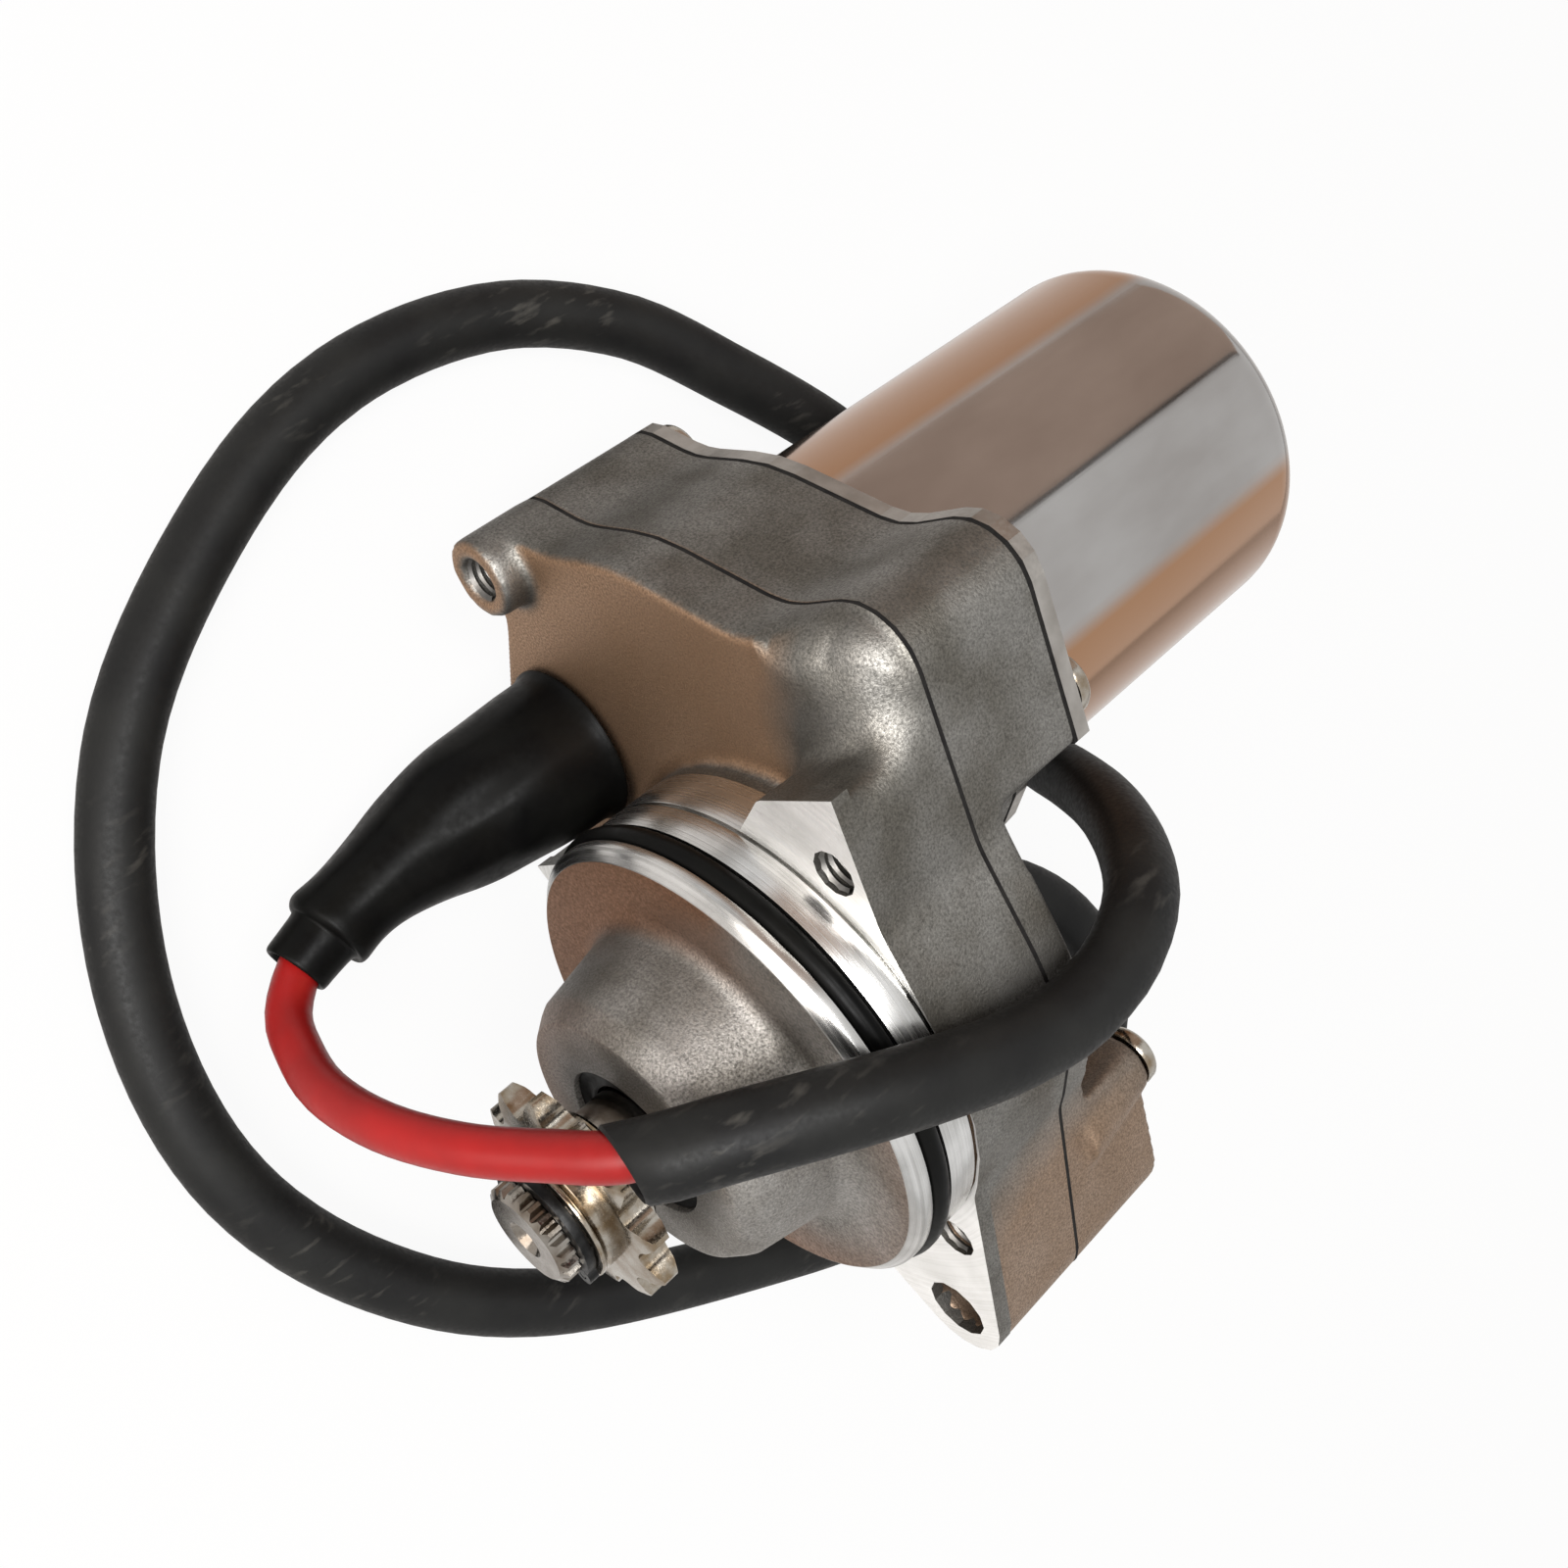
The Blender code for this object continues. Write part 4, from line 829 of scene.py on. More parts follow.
def sweep(shape: bmesh.types.BMesh, rings: Sequence[Matrix], segments: int) -> list[list[bmesh.types.BMVert]]:
    """Extrudes a ring through a row of places and closes both ends.

    Args:
        shape: the shape that it is added to.
        rings: a matrix for each ring, which scales a unit circle and puts it in place.
        segments: the ring's points.

    Returns:
        The points of each ring, in order.
    """
    made = bmesh.ops.create_circle(shape, cap_ends=False, segments=segments, radius=1.0, matrix=rings[0])
    verts = made["verts"]
    rows = [list(verts)]
    edges = edges_at(verts)
    first = edges
    for before, after in zip(rings, rings[1:]):
        grown = bmesh.ops.extrude_edge_only(shape, edges=edges)["geom"]
        verts = points_in(grown)
        edges = [part for part in grown if isinstance(part, bmesh.types.BMEdge)]
        edges = [edge for edge in edges if all(vert in verts for vert in edge.verts)]
        bmesh.ops.transform(shape, matrix=after @ before.inverted(), space=Matrix.Identity(4), verts=verts)
        rows.append(verts)
    for rim in (first, edges):
        bmesh.ops.edgeloop_fill(shape, edges=rim)
    bmesh.ops.recalc_face_normals(shape, faces=shape.faces)
    return rows


def add_modifier(piece: bpy.types.Object, kind: str, **settings: object) -> None:
    """Leaves a live modifier on a piece.

    Args:
        piece: the piece.
        kind: the modifier's type.
        settings: its properties.
    """
    modifier = piece.modifiers.new(kind.title(), kind)
    for name, value in settings.items():
        setattr(modifier, name, value)


def dress_node(node: str, finish: Finish) -> None:
    """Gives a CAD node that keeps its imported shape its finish.

    Args:
        node: the node's name.
        finish: what it wears.
    """
    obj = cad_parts[node]
    obj.data.materials.clear()
    obj.data.materials.append(finish.material())
    LOG.info("%s: CAD node in %s", node, finish.name)


# The studio


@dataclass(frozen=True)
class SoftBox:
    """A square studio light that points at the motor."""

    name: str
    place: tuple[float, float, float]
    size: float
    power: float
    colour: str

    def hang(self, aim: Vector) -> None:
        """Adds the light, turned towards a point.

        Args:
            aim: the point.
        """
        lamp = bpy.data.lights.new(self.name, "AREA")
        lamp.shape, lamp.size, lamp.energy = "SQUARE", self.size, self.power
        lamp.color = linear(self.colour)[:3]
        obj = bpy.data.objects.new(self.name, lamp)
        obj.location = self.place
        obj.rotation_euler = (aim - Vector(self.place)).to_track_quat("-Z", "Y").to_euler()
        bpy.context.scene.collection.objects.link(obj)


@dataclass(frozen=True)
class StudioCard:
    """A dim card beside or over the motor, which gives the metal something darker than white to mirror."""

    name: str
    low: tuple[float, float, float]
    high: tuple[float, float, float]
    colour: str

    def hang(self) -> None:
        """Adds the card as part of the studio, hidden from the camera."""
        span = Vector(self.high) - Vector(self.low)
        middle = (Vector(self.high) + Vector(self.low)) / 2
        standing = span.x == 0.0
        turned = Matrix.Rotation(math.pi / 2 if standing else 0.0, 4, "Y")
        size = Matrix.Diagonal(((span.z if standing else span.x) / 2, span.y / 2, 1.0, 1.0))
        shape = bmesh.new()
        place = Matrix.Translation(middle) @ turned @ size
        bmesh.ops.create_grid(shape, x_segments=1, y_segments=1, size=1.0, matrix=place)
        mesh = as_mesh(shape, self.name)
        material = bpy.data.materials.new(self.name)
        material.use_nodes = True
        tree = material.node_tree
        glow = add_node(tree, "Emission", {"Color": linear(self.colour), "Strength": 1.0})
        tree.links.new(glow.outputs[0], tree.nodes["Material Output"].inputs["Surface"])
        mesh.materials.append(material)
        card = bpy.data.objects.new(self.name, mesh)
        card.visible_camera = False
        card.visible_shadow = False
        bpy.context.scene.collection.objects.link(card)


@dataclass
class Studio:
    """The camera at the photograph's place, a pale floor, soft light and the cards that the metal mirrors."""

    lens: float = 39.46
    sensor: float = 36.0
    clip: tuple[float, float] = (0.005, 50.0)
    camera_place: tuple[float, float, float] = (-0.076778, -0.10916, 0.19675)
    # The camera's own right and back, in the row frame
    right: tuple[float, float, float] = (0.4432, 0.6836, 0.5799)
    back: tuple[float, float, float] = (-0.3155, -0.4865, 0.8147)
    aim: Vector = field(default_factory=lambda: Vector((0.0, 0.01, 0.03)))
    lights: tuple[SoftBox, ...] = (
        SoftBox("overhead_softbox", (-0.2, -0.1, 0.88), 0.34, 6.0, "#FFFFFF"),
        SoftBox("front_softbox", (-0.12, -0.5, 0.6), 0.35, 9.0, "#FFFFFF"),
        SoftBox("left_fill", (-0.22, -0.65, 0.28), 0.4, 2.2, "#FBF3EC"),
    )
    cards: tuple[StudioCard, ...] = (
        StudioCard("warm_grey_card", (-1.0, -0.6, 0.5), (-0.24, 1.6, 0.5), "#CDB5A6"),
        StudioCard("warm_grey_wall", (-0.24, 0.08, 0.0), (-0.24, 1.6, 0.5), "#CDB5A6"),
        StudioCard("dark_edge_card", (-0.24, -0.6, 0.5), (-0.21, 1.6, 0.5), "#2A2725"),
    )
    ambient: float = 0.4
    floor_mm: float = 20000.0
    floor_gap: float = 0.00005
    floor_paper: str = "#A3A09D"
    floor_rough: float = 0.9
    # How much of the floor is plain white to the camera, and where the motor mirrors it
    floor_white: float = 0.93
    floor_mirrored: float = 0.4

    def set_up(self) -> None:
        """Makes the camera, the lights, the world and the floor."""
        self.make_camera()
        for light in self.lights:
            light.hang(self.aim)
        for card in self.cards:
            card.hang()
        self.make_world()
        self.make_floor()
        bpy.context.scene.view_settings.view_transform = "Standard"

    def make_camera(self) -> None:
        """Puts the camera where the photograph was taken from, with its lens."""
        data = bpy.data.cameras.new("photo_camera")
        data.lens, data.sensor_width = self.lens, self.sensor
        data.clip_start, data.clip_end = self.clip
        camera = bpy.data.objects.new("photo_camera", data)
        back = Vector(self.back).normalized()
        right = Vector(self.right)
        right = (right - back * right.dot(back)).normalized()
        turned = Matrix((right, back.cross(right), back)).transposed().to_4x4()
        camera.matrix_world = Matrix.Translation(self.camera_place) @ turned
        bpy.context.scene.collection.objects.link(camera)
        bpy.context.scene.camera = camera

    def seen_rays(
        self, tree: bpy.types.NodeTree, seen: float, mirrored: float, rest: float
    ) -> bpy.types.NodeSocket:
        """Picks a value by what a ray is for.

        Args:
            tree: the node tree that asks.
            seen: the value for rays from the camera.
            mirrored: the value for glossy and transmission rays, which show the background in the motor.
            rest: the value for rays that only carry light.

        Returns:
            The chosen value.
        """
        path = add_node(tree, "LightPath").outputs
        glass = {0: path["Is Glossy Ray"], 1: path["Is Transmission Ray"]}
        bent = add_node(tree, "Math", glass, operation="MAXIMUM")
        inside = add_node(tree, "MapRange", {0: bent.outputs[0], 3: rest, 4: mirrored}).outputs[0]
        return add_node(tree, "MapRange", {0: path["Is Camera Ray"], 3: inside, 4: seen}).outputs[0]

    def make_world(self) -> None:
        """Makes the surroundings white to the eye and a plain level as light."""
        world = bpy.data.worlds.new("studio_surround")
        bpy.context.scene.world = world
        world.use_nodes = True
        tree = world.node_tree
        strength = self.seen_rays(tree, 1.0, 1.0, self.ambient)
        tree.links.new(strength, tree.nodes["Background"].inputs["Strength"])
        tree.nodes["Background"].inputs["Color"].default_value = linear("#FFFFFF")

    def make_floor(self) -> None:
        """Lays a floor that reads as white and still takes the motor's shadow."""
        shape = bmesh.new()
        bmesh.ops.create_grid(shape, x_segments=1, y_segments=1, size=self.floor_mm / 2000)
        bmesh.ops.translate(shape, vec=(0.0, 0.0, CAD_BOX[0].z - self.floor_gap), verts=shape.verts)
        mesh = as_mesh(shape, "floor")
        floor = bpy.data.objects.new("floor", mesh)
        bpy.context.scene.collection.objects.link(floor)
        material = bpy.data.materials.new("white_paper_sweep")
        material.use_nodes = True
        tree = material.node_tree
        shader = tree.nodes["Principled BSDF"]
        shader.inputs["Base Color"].default_value = linear(self.floor_paper)
        shader.inputs["Roughness"].default_value = self.floor_rough
        glow = add_node(tree, "Emission", {"Color": linear("#FFFFFF"), "Strength": 1.0})
        share = self.seen_rays(tree, self.floor_white, self.floor_mirrored, 0.0)
        both = add_node(tree, "MixShader", {0: share, 1: shader.outputs[0], 2: glow.outputs[0]})
        tree.links.new(both.outputs[0], tree.nodes["Material Output"].inputs["Surface"])
        mesh.materials.append(material)


# The cable


@dataclass
class Cable:
    """The red wire, the black sleeve that it runs in, and the ring lug on the far end."""

    wire_r: float = 2.5
    sleeve_r: float = 4.1
    sleeve_bore: float = 3.4
    lie_z: float = FLOOR_Z + 4.15
    wire_depth: float = 12.0  # how far the wire shows inside the sleeve's mouth
    lip_out: float = 0.35
    mouth_slant: Vector = field(default_factory=lambda: Vector((0.15, -0.39, 0.43)))
    # How far each ring follows the slant, from the second one inside the mouth to the outside
    slant_shares: tuple[float, ...] = (0.3, 0.6, 0.85, 1.0, 1.0, 1.0, 0.5, 0.15)
    red_route: list[tuple[float, float, float]] = field(
        default_factory=lambda: [
            (-33.1, -7.4, -26.5), (-32.8, -12.0, -26.5), (-31.4, -20.0, -26.5), (-29.95, -24.5, -26.35),
            (-27.4, -29.2, -23.1), (-25.0, -31.6, -18.0), (-22.1, -33.2, -10.8), (-18.8, -32.5, -1.7),
            (-15.6, -29.5, 7.8), (-12.9, -25.1, 16.0), (-11.1, -21.4, 22.0),
        ]
    )
    sleeve_air: list[tuple[float, float, float]] = field(
        default_factory=lambda: [
            (-10.4, -21.8, 22.0), (-8.5, -13.3, 29.0), (-5.2, -3.8, 33.2), (-1.6, 4.5, 34.2),
            (2.0, 13.0, 34.2), (4.3, 21.5, 34.1), (4.4, 29.5, 33.7), (3.4, 36.0, 32.2), (2.6, 42.0, 28.8),
            (2.4, 49.4, 21.5), (3.2, 58.0, 10.5), (3.9, 65.0, -1.0), (4.0, 71.0, -13.0),
            (1.6, 77.0, -25.0), (-6.0, 82.0, -32.4),
        ]
    )
    sleeve_floor: list[tuple[float, float]] = field(
        default_factory=lambda: [
            (-17.0, 84.6), (-28.0, 84.8), (-38.0, 82.6), (-46.0, 78.6), (-58.5, 68.7), (-72.0, 56.0),
            (-80.6, 38.5), (-82.0, 17.0), (-75.0, -3.5), (-60.0, -25.0), (-38.0, -38.5), (-14.0, -42.4),
            (8.0, -35.4), (27.0, -19.5), (45.6, 10.9), (54.5, 30.0), (60.3, 47.0), (62.5, 64.0), (60.2, 73.0),
            (54.0, 79.2), (45.5, 81.5), (37.0, 79.4), (29.2, 74.4), (22.5, 67.5),
        ]
    )

    def build(self) -> None:
        route = self.sleeve_air + [(x, y, self.lie_z) for x, y in self.sleeve_floor]
        sleeve_line = smooth_route(route, 3.0, before=self.red_route[-2])
        coarse = smooth_route(route, 3.3 * self.sleeve_r, before=self.red_route[-2])
        tip = coarse[-1]
        heading = (tip - coarse[-2]).normalized()
        self.build_wire(sleeve_line)
        sleeve = self.build_sleeve(sleeve_line)
        shrink = self.build_shrink(tip, heading)
        lug = self.build_lug(tip, heading)

    def build_wire(self, sleeve_line: Sequence[Vector]) -> None:
        """Runs the red wire from the boot into the sleeve's mouth.

        Args:
            sleeve_line: the sleeve's centreline, which the wire follows inside it.
        """
        line = smooth_route(self.red_route, 2.0, after=self.sleeve_air[1])
        beside = Vector(self.red_route[-1]) - sleeve_line[0]
        inside = [point for point in sleeve_line[1:] if (point - sleeve_line[0]).length < self.wire_depth]
        line = line + [point + beside for point in inside]
        shape = bmesh.new()
        sweep(shape, [place @ Matrix.Scale(self.wire_r, 4) for place in route_frames(line)], 28)
        wire = make_piece(shape, "red_lead_wire", Body.MOTOR, [RED_PVC], ["red_wire"])

    def build_sleeve(self, line: Sequence[Vector]) -> bpy.types.Object:
        """Makes the sleeve as a tube with an open, cut mouth.

        Args:
            line: its centreline.

        Returns:
            The sleeve.
        """
        places = route_frames(line)
        lip = (self.sleeve_r + self.sleeve_bore) / 2
        inside = [places[k] @ Matrix.Scale(self.sleeve_bore, 4) for k in (4, 3, 2, 1)]
        out = places[0].to_3x3() @ Vector((0, 0, -self.lip_out))
        mouth = [
            places[0] @ Matrix.Scale(self.sleeve_bore + 0.1, 4),
            Matrix.Translation(out) @ places[0] @ Matrix.Scale(lip, 4),
            places[0] @ Matrix.Scale(self.sleeve_r - 0.05, 4),
        ]
        outside = [place @ Matrix.Scale(self.sleeve_r, 4) for place in places[1:]]
        shape = bmesh.new()
        rows = sweep(shape, inside + mouth + outside, 32)
        along = places[0].to_3x3() @ Vector((0, 0, 1))
        for row, share in zip(rows[1:], self.slant_shares):
            for vert in row:
                vert.co += along * (share * (vert.co - line[0]).dot(self.mouth_slant))
        return make_piece(shape, "cable_sleeving", Body.MOTOR, [SLEEVING], ["cable_sleeve"])

    def build_shrink(self, tip: Vector, heading: Vector) -> bpy.types.Object:
        """Shrinks a tapered tube over the sleeve's end and the lug's barrel.

        Args:
            tip: the sleeve's end.
            heading: the way it points.

        Returns:
            The tube.
        """
        # (reach, radius) from the end on the sleeve to the lip, which turns in round the barrel
        steps = [
            (-6.0, 4.5), (-5.6, 4.62), (0.0, 4.6), (2.5, 4.45), (6.0, 4.2), (9.0, 3.85), (11.0, 3.45),
            (13.0, 3.3), (16.0, 3.25), (16.2, 3.1), (14.0, 2.7),
        ]
        places = route_frames([tip + heading * reach for reach, _ in steps[:-1]])
        places.append(Matrix.Translation(heading * (steps[-1][0] - steps[-2][0])) @ places[-1])
        shape = bmesh.new()
        sweep(shape, [place @ Matrix.Scale(radius, 4) for place, (_, radius) in zip(places, steps)], 28)
        for vert in shape.verts:
            vert.co.z = max(vert.co.z, FLOOR_Z + 0.01)
        return make_piece(shape, "lug_heat_shrink", Body.MOTOR, [RUBBER], ["lug_shrink_sleeve"])

    def build_lug(self, tip: Vector, heading: Vector) -> bpy.types.Object:
        """Presses a ring lug: a crimped barrel that flattens into a ring.

        Args:
            tip: the sleeve's end.
            heading: the way it points.

        Returns:
            The lug.
        """
        across = heading.cross(Vector((0, 0, 1))).normalized()
        turned = Matrix((across, Vector((0, 0, 1)), heading)).transposed().to_4x4()
        # (reach, half width, half height) from the barrel to the ring
        steps = [
            (11.4, 2.6, 2.6), (17.0, 2.6, 2.6), (18.2, 2.75, 2.2), (20.0, 3.2, 1.1), (21.5, 3.8, 0.8),
            (23.0, 4.0, 0.75),
        ]
        rings = [
            Matrix.Translation(tip + heading * reach) @ turned @ Matrix.Diagonal((wide, high, 1.0, 1.0))
            for reach, wide, high in steps
        ]
        shape = bmesh.new()
        sweep(shape, rings, 24)
        ring = turned_shape([(3.2, -0.8), (6.0, -0.8), (6.0, 0.8), (3.2, 0.8)], steps=48)
        ease(ring, 0.2)
        upright = Matrix.Translation(tip + heading * 26.0) @ Matrix.Rotation(math.pi / 2, 4, "X")
        bmesh.ops.transform(ring, matrix=upright, space=Matrix.Identity(4), verts=ring.verts)
        mesh = as_mesh(ring, "ring")
        shape.from_mesh(mesh)
        bpy.data.meshes.remove(mesh)
        return make_piece(shape, "ring_cable_lug", Body.MOTOR, [TINNED], ["cable_lug"])


# The terminal boot


@dataclass
class TerminalBoot:
    """The rubber boot over the live terminal, with its collar round the wire."""

    z: float = -26.5
    # (x, y, radius) from the skirt on the cover to the lip
    skin: list[tuple[float, float, float]] = field(
        default_factory=lambda: [
            (-32.5, 17.5, 10.5), (-32.5, 16.7, 10.5), (-32.55, 15.9, 9.8), (-32.65, 13.0, 9.75),
            (-32.8, 9.0, 9.7), (-33.0, 5.0, 9.4), (-33.25, 1.0, 8.9), (-33.3, -3.0, 8.1),
            (-33.2, -6.5, 7.2), (-32.95, -10.0, 6.4), (-32.6, -13.5, 5.7), (-32.1, -16.5, 5.3),
            (-31.75, -18.3, 5.35), (-31.5, -19.5, 5.5), (-31.35, -20.3, 5.3), (-31.3, -20.5, 4.6),
            (-31.25, -20.6, 4.15), (-30.8, -22.3, 4.05), (-30.3, -24.0, 3.95), (-29.95, -25.2, 3.95),
            (-29.85, -25.5, 3.6), (-29.95, -25.2, 3.1), (-30.6, -23.0, 3.05),
        ]
    )
    outer_rings: int = 15
    folded_rings: int = 11
    fold: float = 0.85
    fold_mm: float = 7.5

    def build(self) -> None:
        """Sweeps the boot's rings, then folds the thin rubber."""
        outward = [Vector((x, y, self.z)) for x, y, _ in self.skin[:-2]]
        places = route_frames(outward)
        for x, y, _ in self.skin[-2:]:
            places.append(Matrix.Translation(Vector((x, y, self.z)) - places[-1].translation) @ places[-1])
        shape = bmesh.new()
        rings = [place @ Matrix.Scale(entry[2], 4) for place, entry in zip(places, self.skin)]
        rows = sweep(shape, rings, 40)
        shape.normal_update()
        for k, row in enumerate(rows[2 : self.outer_rings]):
            share = math.sin(math.pi * min(1.0, (k + 1) / self.folded_rings))
            for vert in row:
                seed = vert.co / self.fold_mm
                crease = noise.noise(seed + Vector((3.1, 0.0, 0.0)))
                ridge = abs(noise.noise(Vector((seed.x * 1.5, seed.y * 0.45, seed.z * 1.5))))
                vert.co += vert.normal * (self.fold * share * (crease * 0.8 - ridge * 1.3 + 0.15))
        boot = make_piece(
            shape, "terminal_rubber_boot", Body.MOTOR, [RUBBER], ["terminal_boot"], 60.0
        )
        add_modifier(boot, "SUBSURF", levels=2, render_levels=2)


# The castings


@dataclass
class GearCase:
    """The two aluminium castings with their machined faces, gaskets and end plate."""

    grid: float = 0.6
    passes: int = 3
    cut_y: float = 10.6
    joints: tuple[float, float, float] = (24.73, 25.27, 41.73)
    # How near a joint its points lie, and what is recast past it and then cut off, which keeps it crisp
    at_joint: float = 0.2
    spare: float = 3.0
    # The rear joint ends here, short of the ear
    joint_x: float = 20.5
    crisp_deg: float = 70.0
    # The painted brown reflection lies on the sides that face this way
    reflection_facing: Vector = field(default_factory=lambda: Vector((-0.3, -0.93, -0.2)))
    # The shares of facing from which the painted reflection starts and is full, and its most
    case_reflection: tuple[float, float, float] = (0.6, 0.95, 0.9)
    nose_reflection: tuple[float, float, float] = (0.55, 0.95, 0.95)
    # The painted reflection is left off the lobe above the pad and the nose, and lies on the ear's side
    marks: tuple[tuple[Vector, float, float, float], ...] = (
        (Vector((-28.0, 15.0, 27.0)), 9.0, 15.0, 0.0),
        (Vector((-39.5, 19.0, 29.5)), 6.0, 11.0, 0.0),
        (Vector((-15.0, 15.0, 34.0)), 20.0, 24.0, 0.0),
        (Vector((4.0, -6.0, 6.0)), 18.0, 27.0, 0.0),
        (Vector((42.0, 25.0, 3.0)), 20.0, 29.0, 0.6),
    )
    cover_face: float = 18.0
    lobe_corner: Vector = field(default_factory=lambda: Vector((-42.7, 0.0, 34.2)))
    lobe_r: float = 10.0
    lobe_up: Vector = field(default_factory=lambda: Vector((0.1922, 0.0, 0.9814)))
    # Where the lobe's large rounding grows in, up Z and to the left in X
    lobe_rise: tuple[float, float] = (20.0, 28.0)
    lobe_left: tuple[float, float] = (-28.5, -31.0)
    # The rounding's size in from the wall and back from the face, where it starts and how much it grows
    lobe_reach: tuple[float, float] = (3.0, 8.5)
    lobe_depth: tuple[float, float] = (3.0, 3.6)
    # The corner between the lobe and the pad is smoothed out
    step_corner: Vector = field(default_factory=lambda: Vector((-30.5, 17.5, 26.5)))
    step_r: float = 8.5
    step_front: float = 12.2
    step_passes: int = 60
    ear_x: float = 24.5
    ear_screw: Vector = field(default_factory=lambda: Vector((29.2, 0.0, 12.4)))
    ear_clear: float = 6.3
    ear_round: float = 4.0
    # How far the column's corners lie from its screw, and its radius under the screw's head
    column_reach: tuple[float, float] = (5.8, 8.6)
    column_r: float = 4.1
    mount_face: float = 10.0
    face_proud: float = 0.06
    face_thick: float = 2.2
    pilot_r: float = 29.0
    nose_steps: int = 160
    groove: tuple[float, float] = (2.8, 5.7)
    groove_r: float = 27.0
    machined_r: float = 27.68
    # Past this place the turned skirt runs sunk inside the gear chamber's wall
    skirt_x: float = -6.0
    skirt_y: float = 9.5
    skirt_sunk: float = 0.96
    # Tapped holes as (x, z, front face, depth)
    tapped: tuple[tuple[float, float, float, float], ...] = (
        (-21.0, 26.0, 10.0, 8.0),
        (29.2, 12.4, 10.0, 7.0),
        (-56.0, -20.2, 14.0, 6.0),
    )
    thread_pitch: float = 1.0
    thread_start: float = 0.35
    thread_crest: float = 2.3
    thread_root: float = 2.72

    def build(self) -> None:
        """Makes the castings and dresses the sheet pieces between them."""
        self.build_cover()
        self.build_pilot()
        self.build_mount_face()
        self.build_threads()
        self.build_housing()
        for node in ("cover_gasket", "back_gasket"):
            dress_node(node, GASKET)
        dress_node("motor_end_plate", SHEET)

    def build_cover(self) -> None:
        """Recasts the cover without its turned pilot and nose, with a crisp joint."""
        shape = node_copy("front_cover")
        cut_flat(shape, self.cut_y, -1)
        for vert in shape.verts:
            vert.co.y += self.spare if vert.co.y > self.joints[0] - self.at_joint else 0.0
        skin = recast(shape, self.grid, self.passes)
        cut_flat(skin, self.joints[0], 1)
        self.round_lobe(skin)
        lay_painted_reflection(skin, self.reflection_facing.normalized(), *self.case_reflection, marks=self.marks)
        make_piece(skin, "cover_casting", Body.MOTOR, [CAST], ["front_cover"], self.crisp_deg)

    def round_lobe(self, skin: bmesh.types.BMesh) -> None:
        """Rounds the front of the cover's upper lobe far more than its other edges.

        Args:
            skin: the recast cover.
        """
        for vert in skin.verts:
            x, y, z = vert.co
            left = max(self.lobe_r - (x - self.lobe_corner.x), 0.0)
            below = self.lobe_up.dot(self.lobe_corner - Vector((x, self.lobe_corner.y, z)))
            top = max(self.lobe_r - below, 0.0)
            near = Vector((left, 0.0, 0.0)) - self.lobe_up * top
            along = ramp(z, *self.lobe_rise) * ramp(x, *self.lobe_left)
            if near.length == 0.0 or along == 0.0:
                continue
            reach = self.lobe_reach[0] + self.lobe_reach[1] * along
            depth = self.lobe_depth[0] + self.lobe_depth[1] * along
            wall = self.lobe_r - math.hypot(left, top)
            across, back = (reach - wall) / reach, (depth - y + self.cover_face) / depth
            far = math.hypot(across, back)
            if across > 0.0 and back > 0.0 and far > 1.0:
                vert.co += near.normalized() * (reach * (1.0 - across / far) - wall)
                vert.co.y = self.cover_face + depth * (1.0 - back / far)
        behind = [vert for vert in skin.verts if vert.co.y > self.step_front]
        blend = [vert for vert in behind if (vert.co - self.step_corner).length < self.step_r]
        soften(skin, blend, self.step_passes)

    def build_housing(self) -> None:
        """Recasts the rear half of the gear case, with crisp joints and a round-ended ear."""
        shape = node_copy("mid_housing")
        self.taper_column(shape)
        self.round_ear(shape)
        for vert in shape.verts:
            if vert.co.y < self.joints[1] + self.at_joint:
                vert.co.y -= self.spare
            elif vert.co.y > self.joints[2] - self.at_joint and vert.co.x < self.joint_x:
                vert.co.y += self.spare
        skin = recast(shape, self.grid, self.passes)
        cut_flat(skin, self.joints[1], -1)
        cut_flat(skin, self.joints[2], 1)
        lay_painted_reflection(skin, self.reflection_facing.normalized(), *self.case_reflection, marks=self.marks)
        make_piece(skin, "housing_casting", Body.MOTOR, [CAST], ["mid_housing"], self.crisp_deg)

    def taper_column(self, shape: bmesh.types.BMesh) -> None:
        """Draws the ear's screw column in towards the screw's head.

        Args:
            shape: the housing.
        """
        inner, outer = self.column_reach
        for vert in shape.verts:
            aside = (vert.co - self.ear_screw) * Vector((1.0, 0.0, 1.0))
            if vert.co.y > self.joints[2] - self.at_joint and inner < aside.length < outer:
                vert.co += aside * (self.column_r / aside.length - 1.0)

    def round_ear(self, shape: bmesh.types.BMesh) -> None:
        """Rounds the rear edge of the ear beside its screw column.

        Args:
            shape: the housing.
        """
        bmesh.ops.dissolve_limit(shape, angle_limit=0.01, verts=shape.verts, edges=shape.edges)
        rear = max(vert.co.y for vert in shape.verts) - 0.01
        edges = []
        for edge in shape.edges:
            middle = (edge.verts[0].co + edge.verts[1].co) / 2
            if any(vert.co.y < rear for vert in edge.verts) or middle.x < self.ear_x:
                continue
            walls = [face for face in edge.link_faces if abs(face.normal.y) < 0.1 and face.normal.x > 0.2]
            clear = (middle - self.ear_screw - Vector((0.0, middle.y, 0.0))).length > self.ear_clear
            if walls and clear and edge.is_convex:
                edges.append(edge)
        round_edges(shape, edges, self.ear_round, 5)

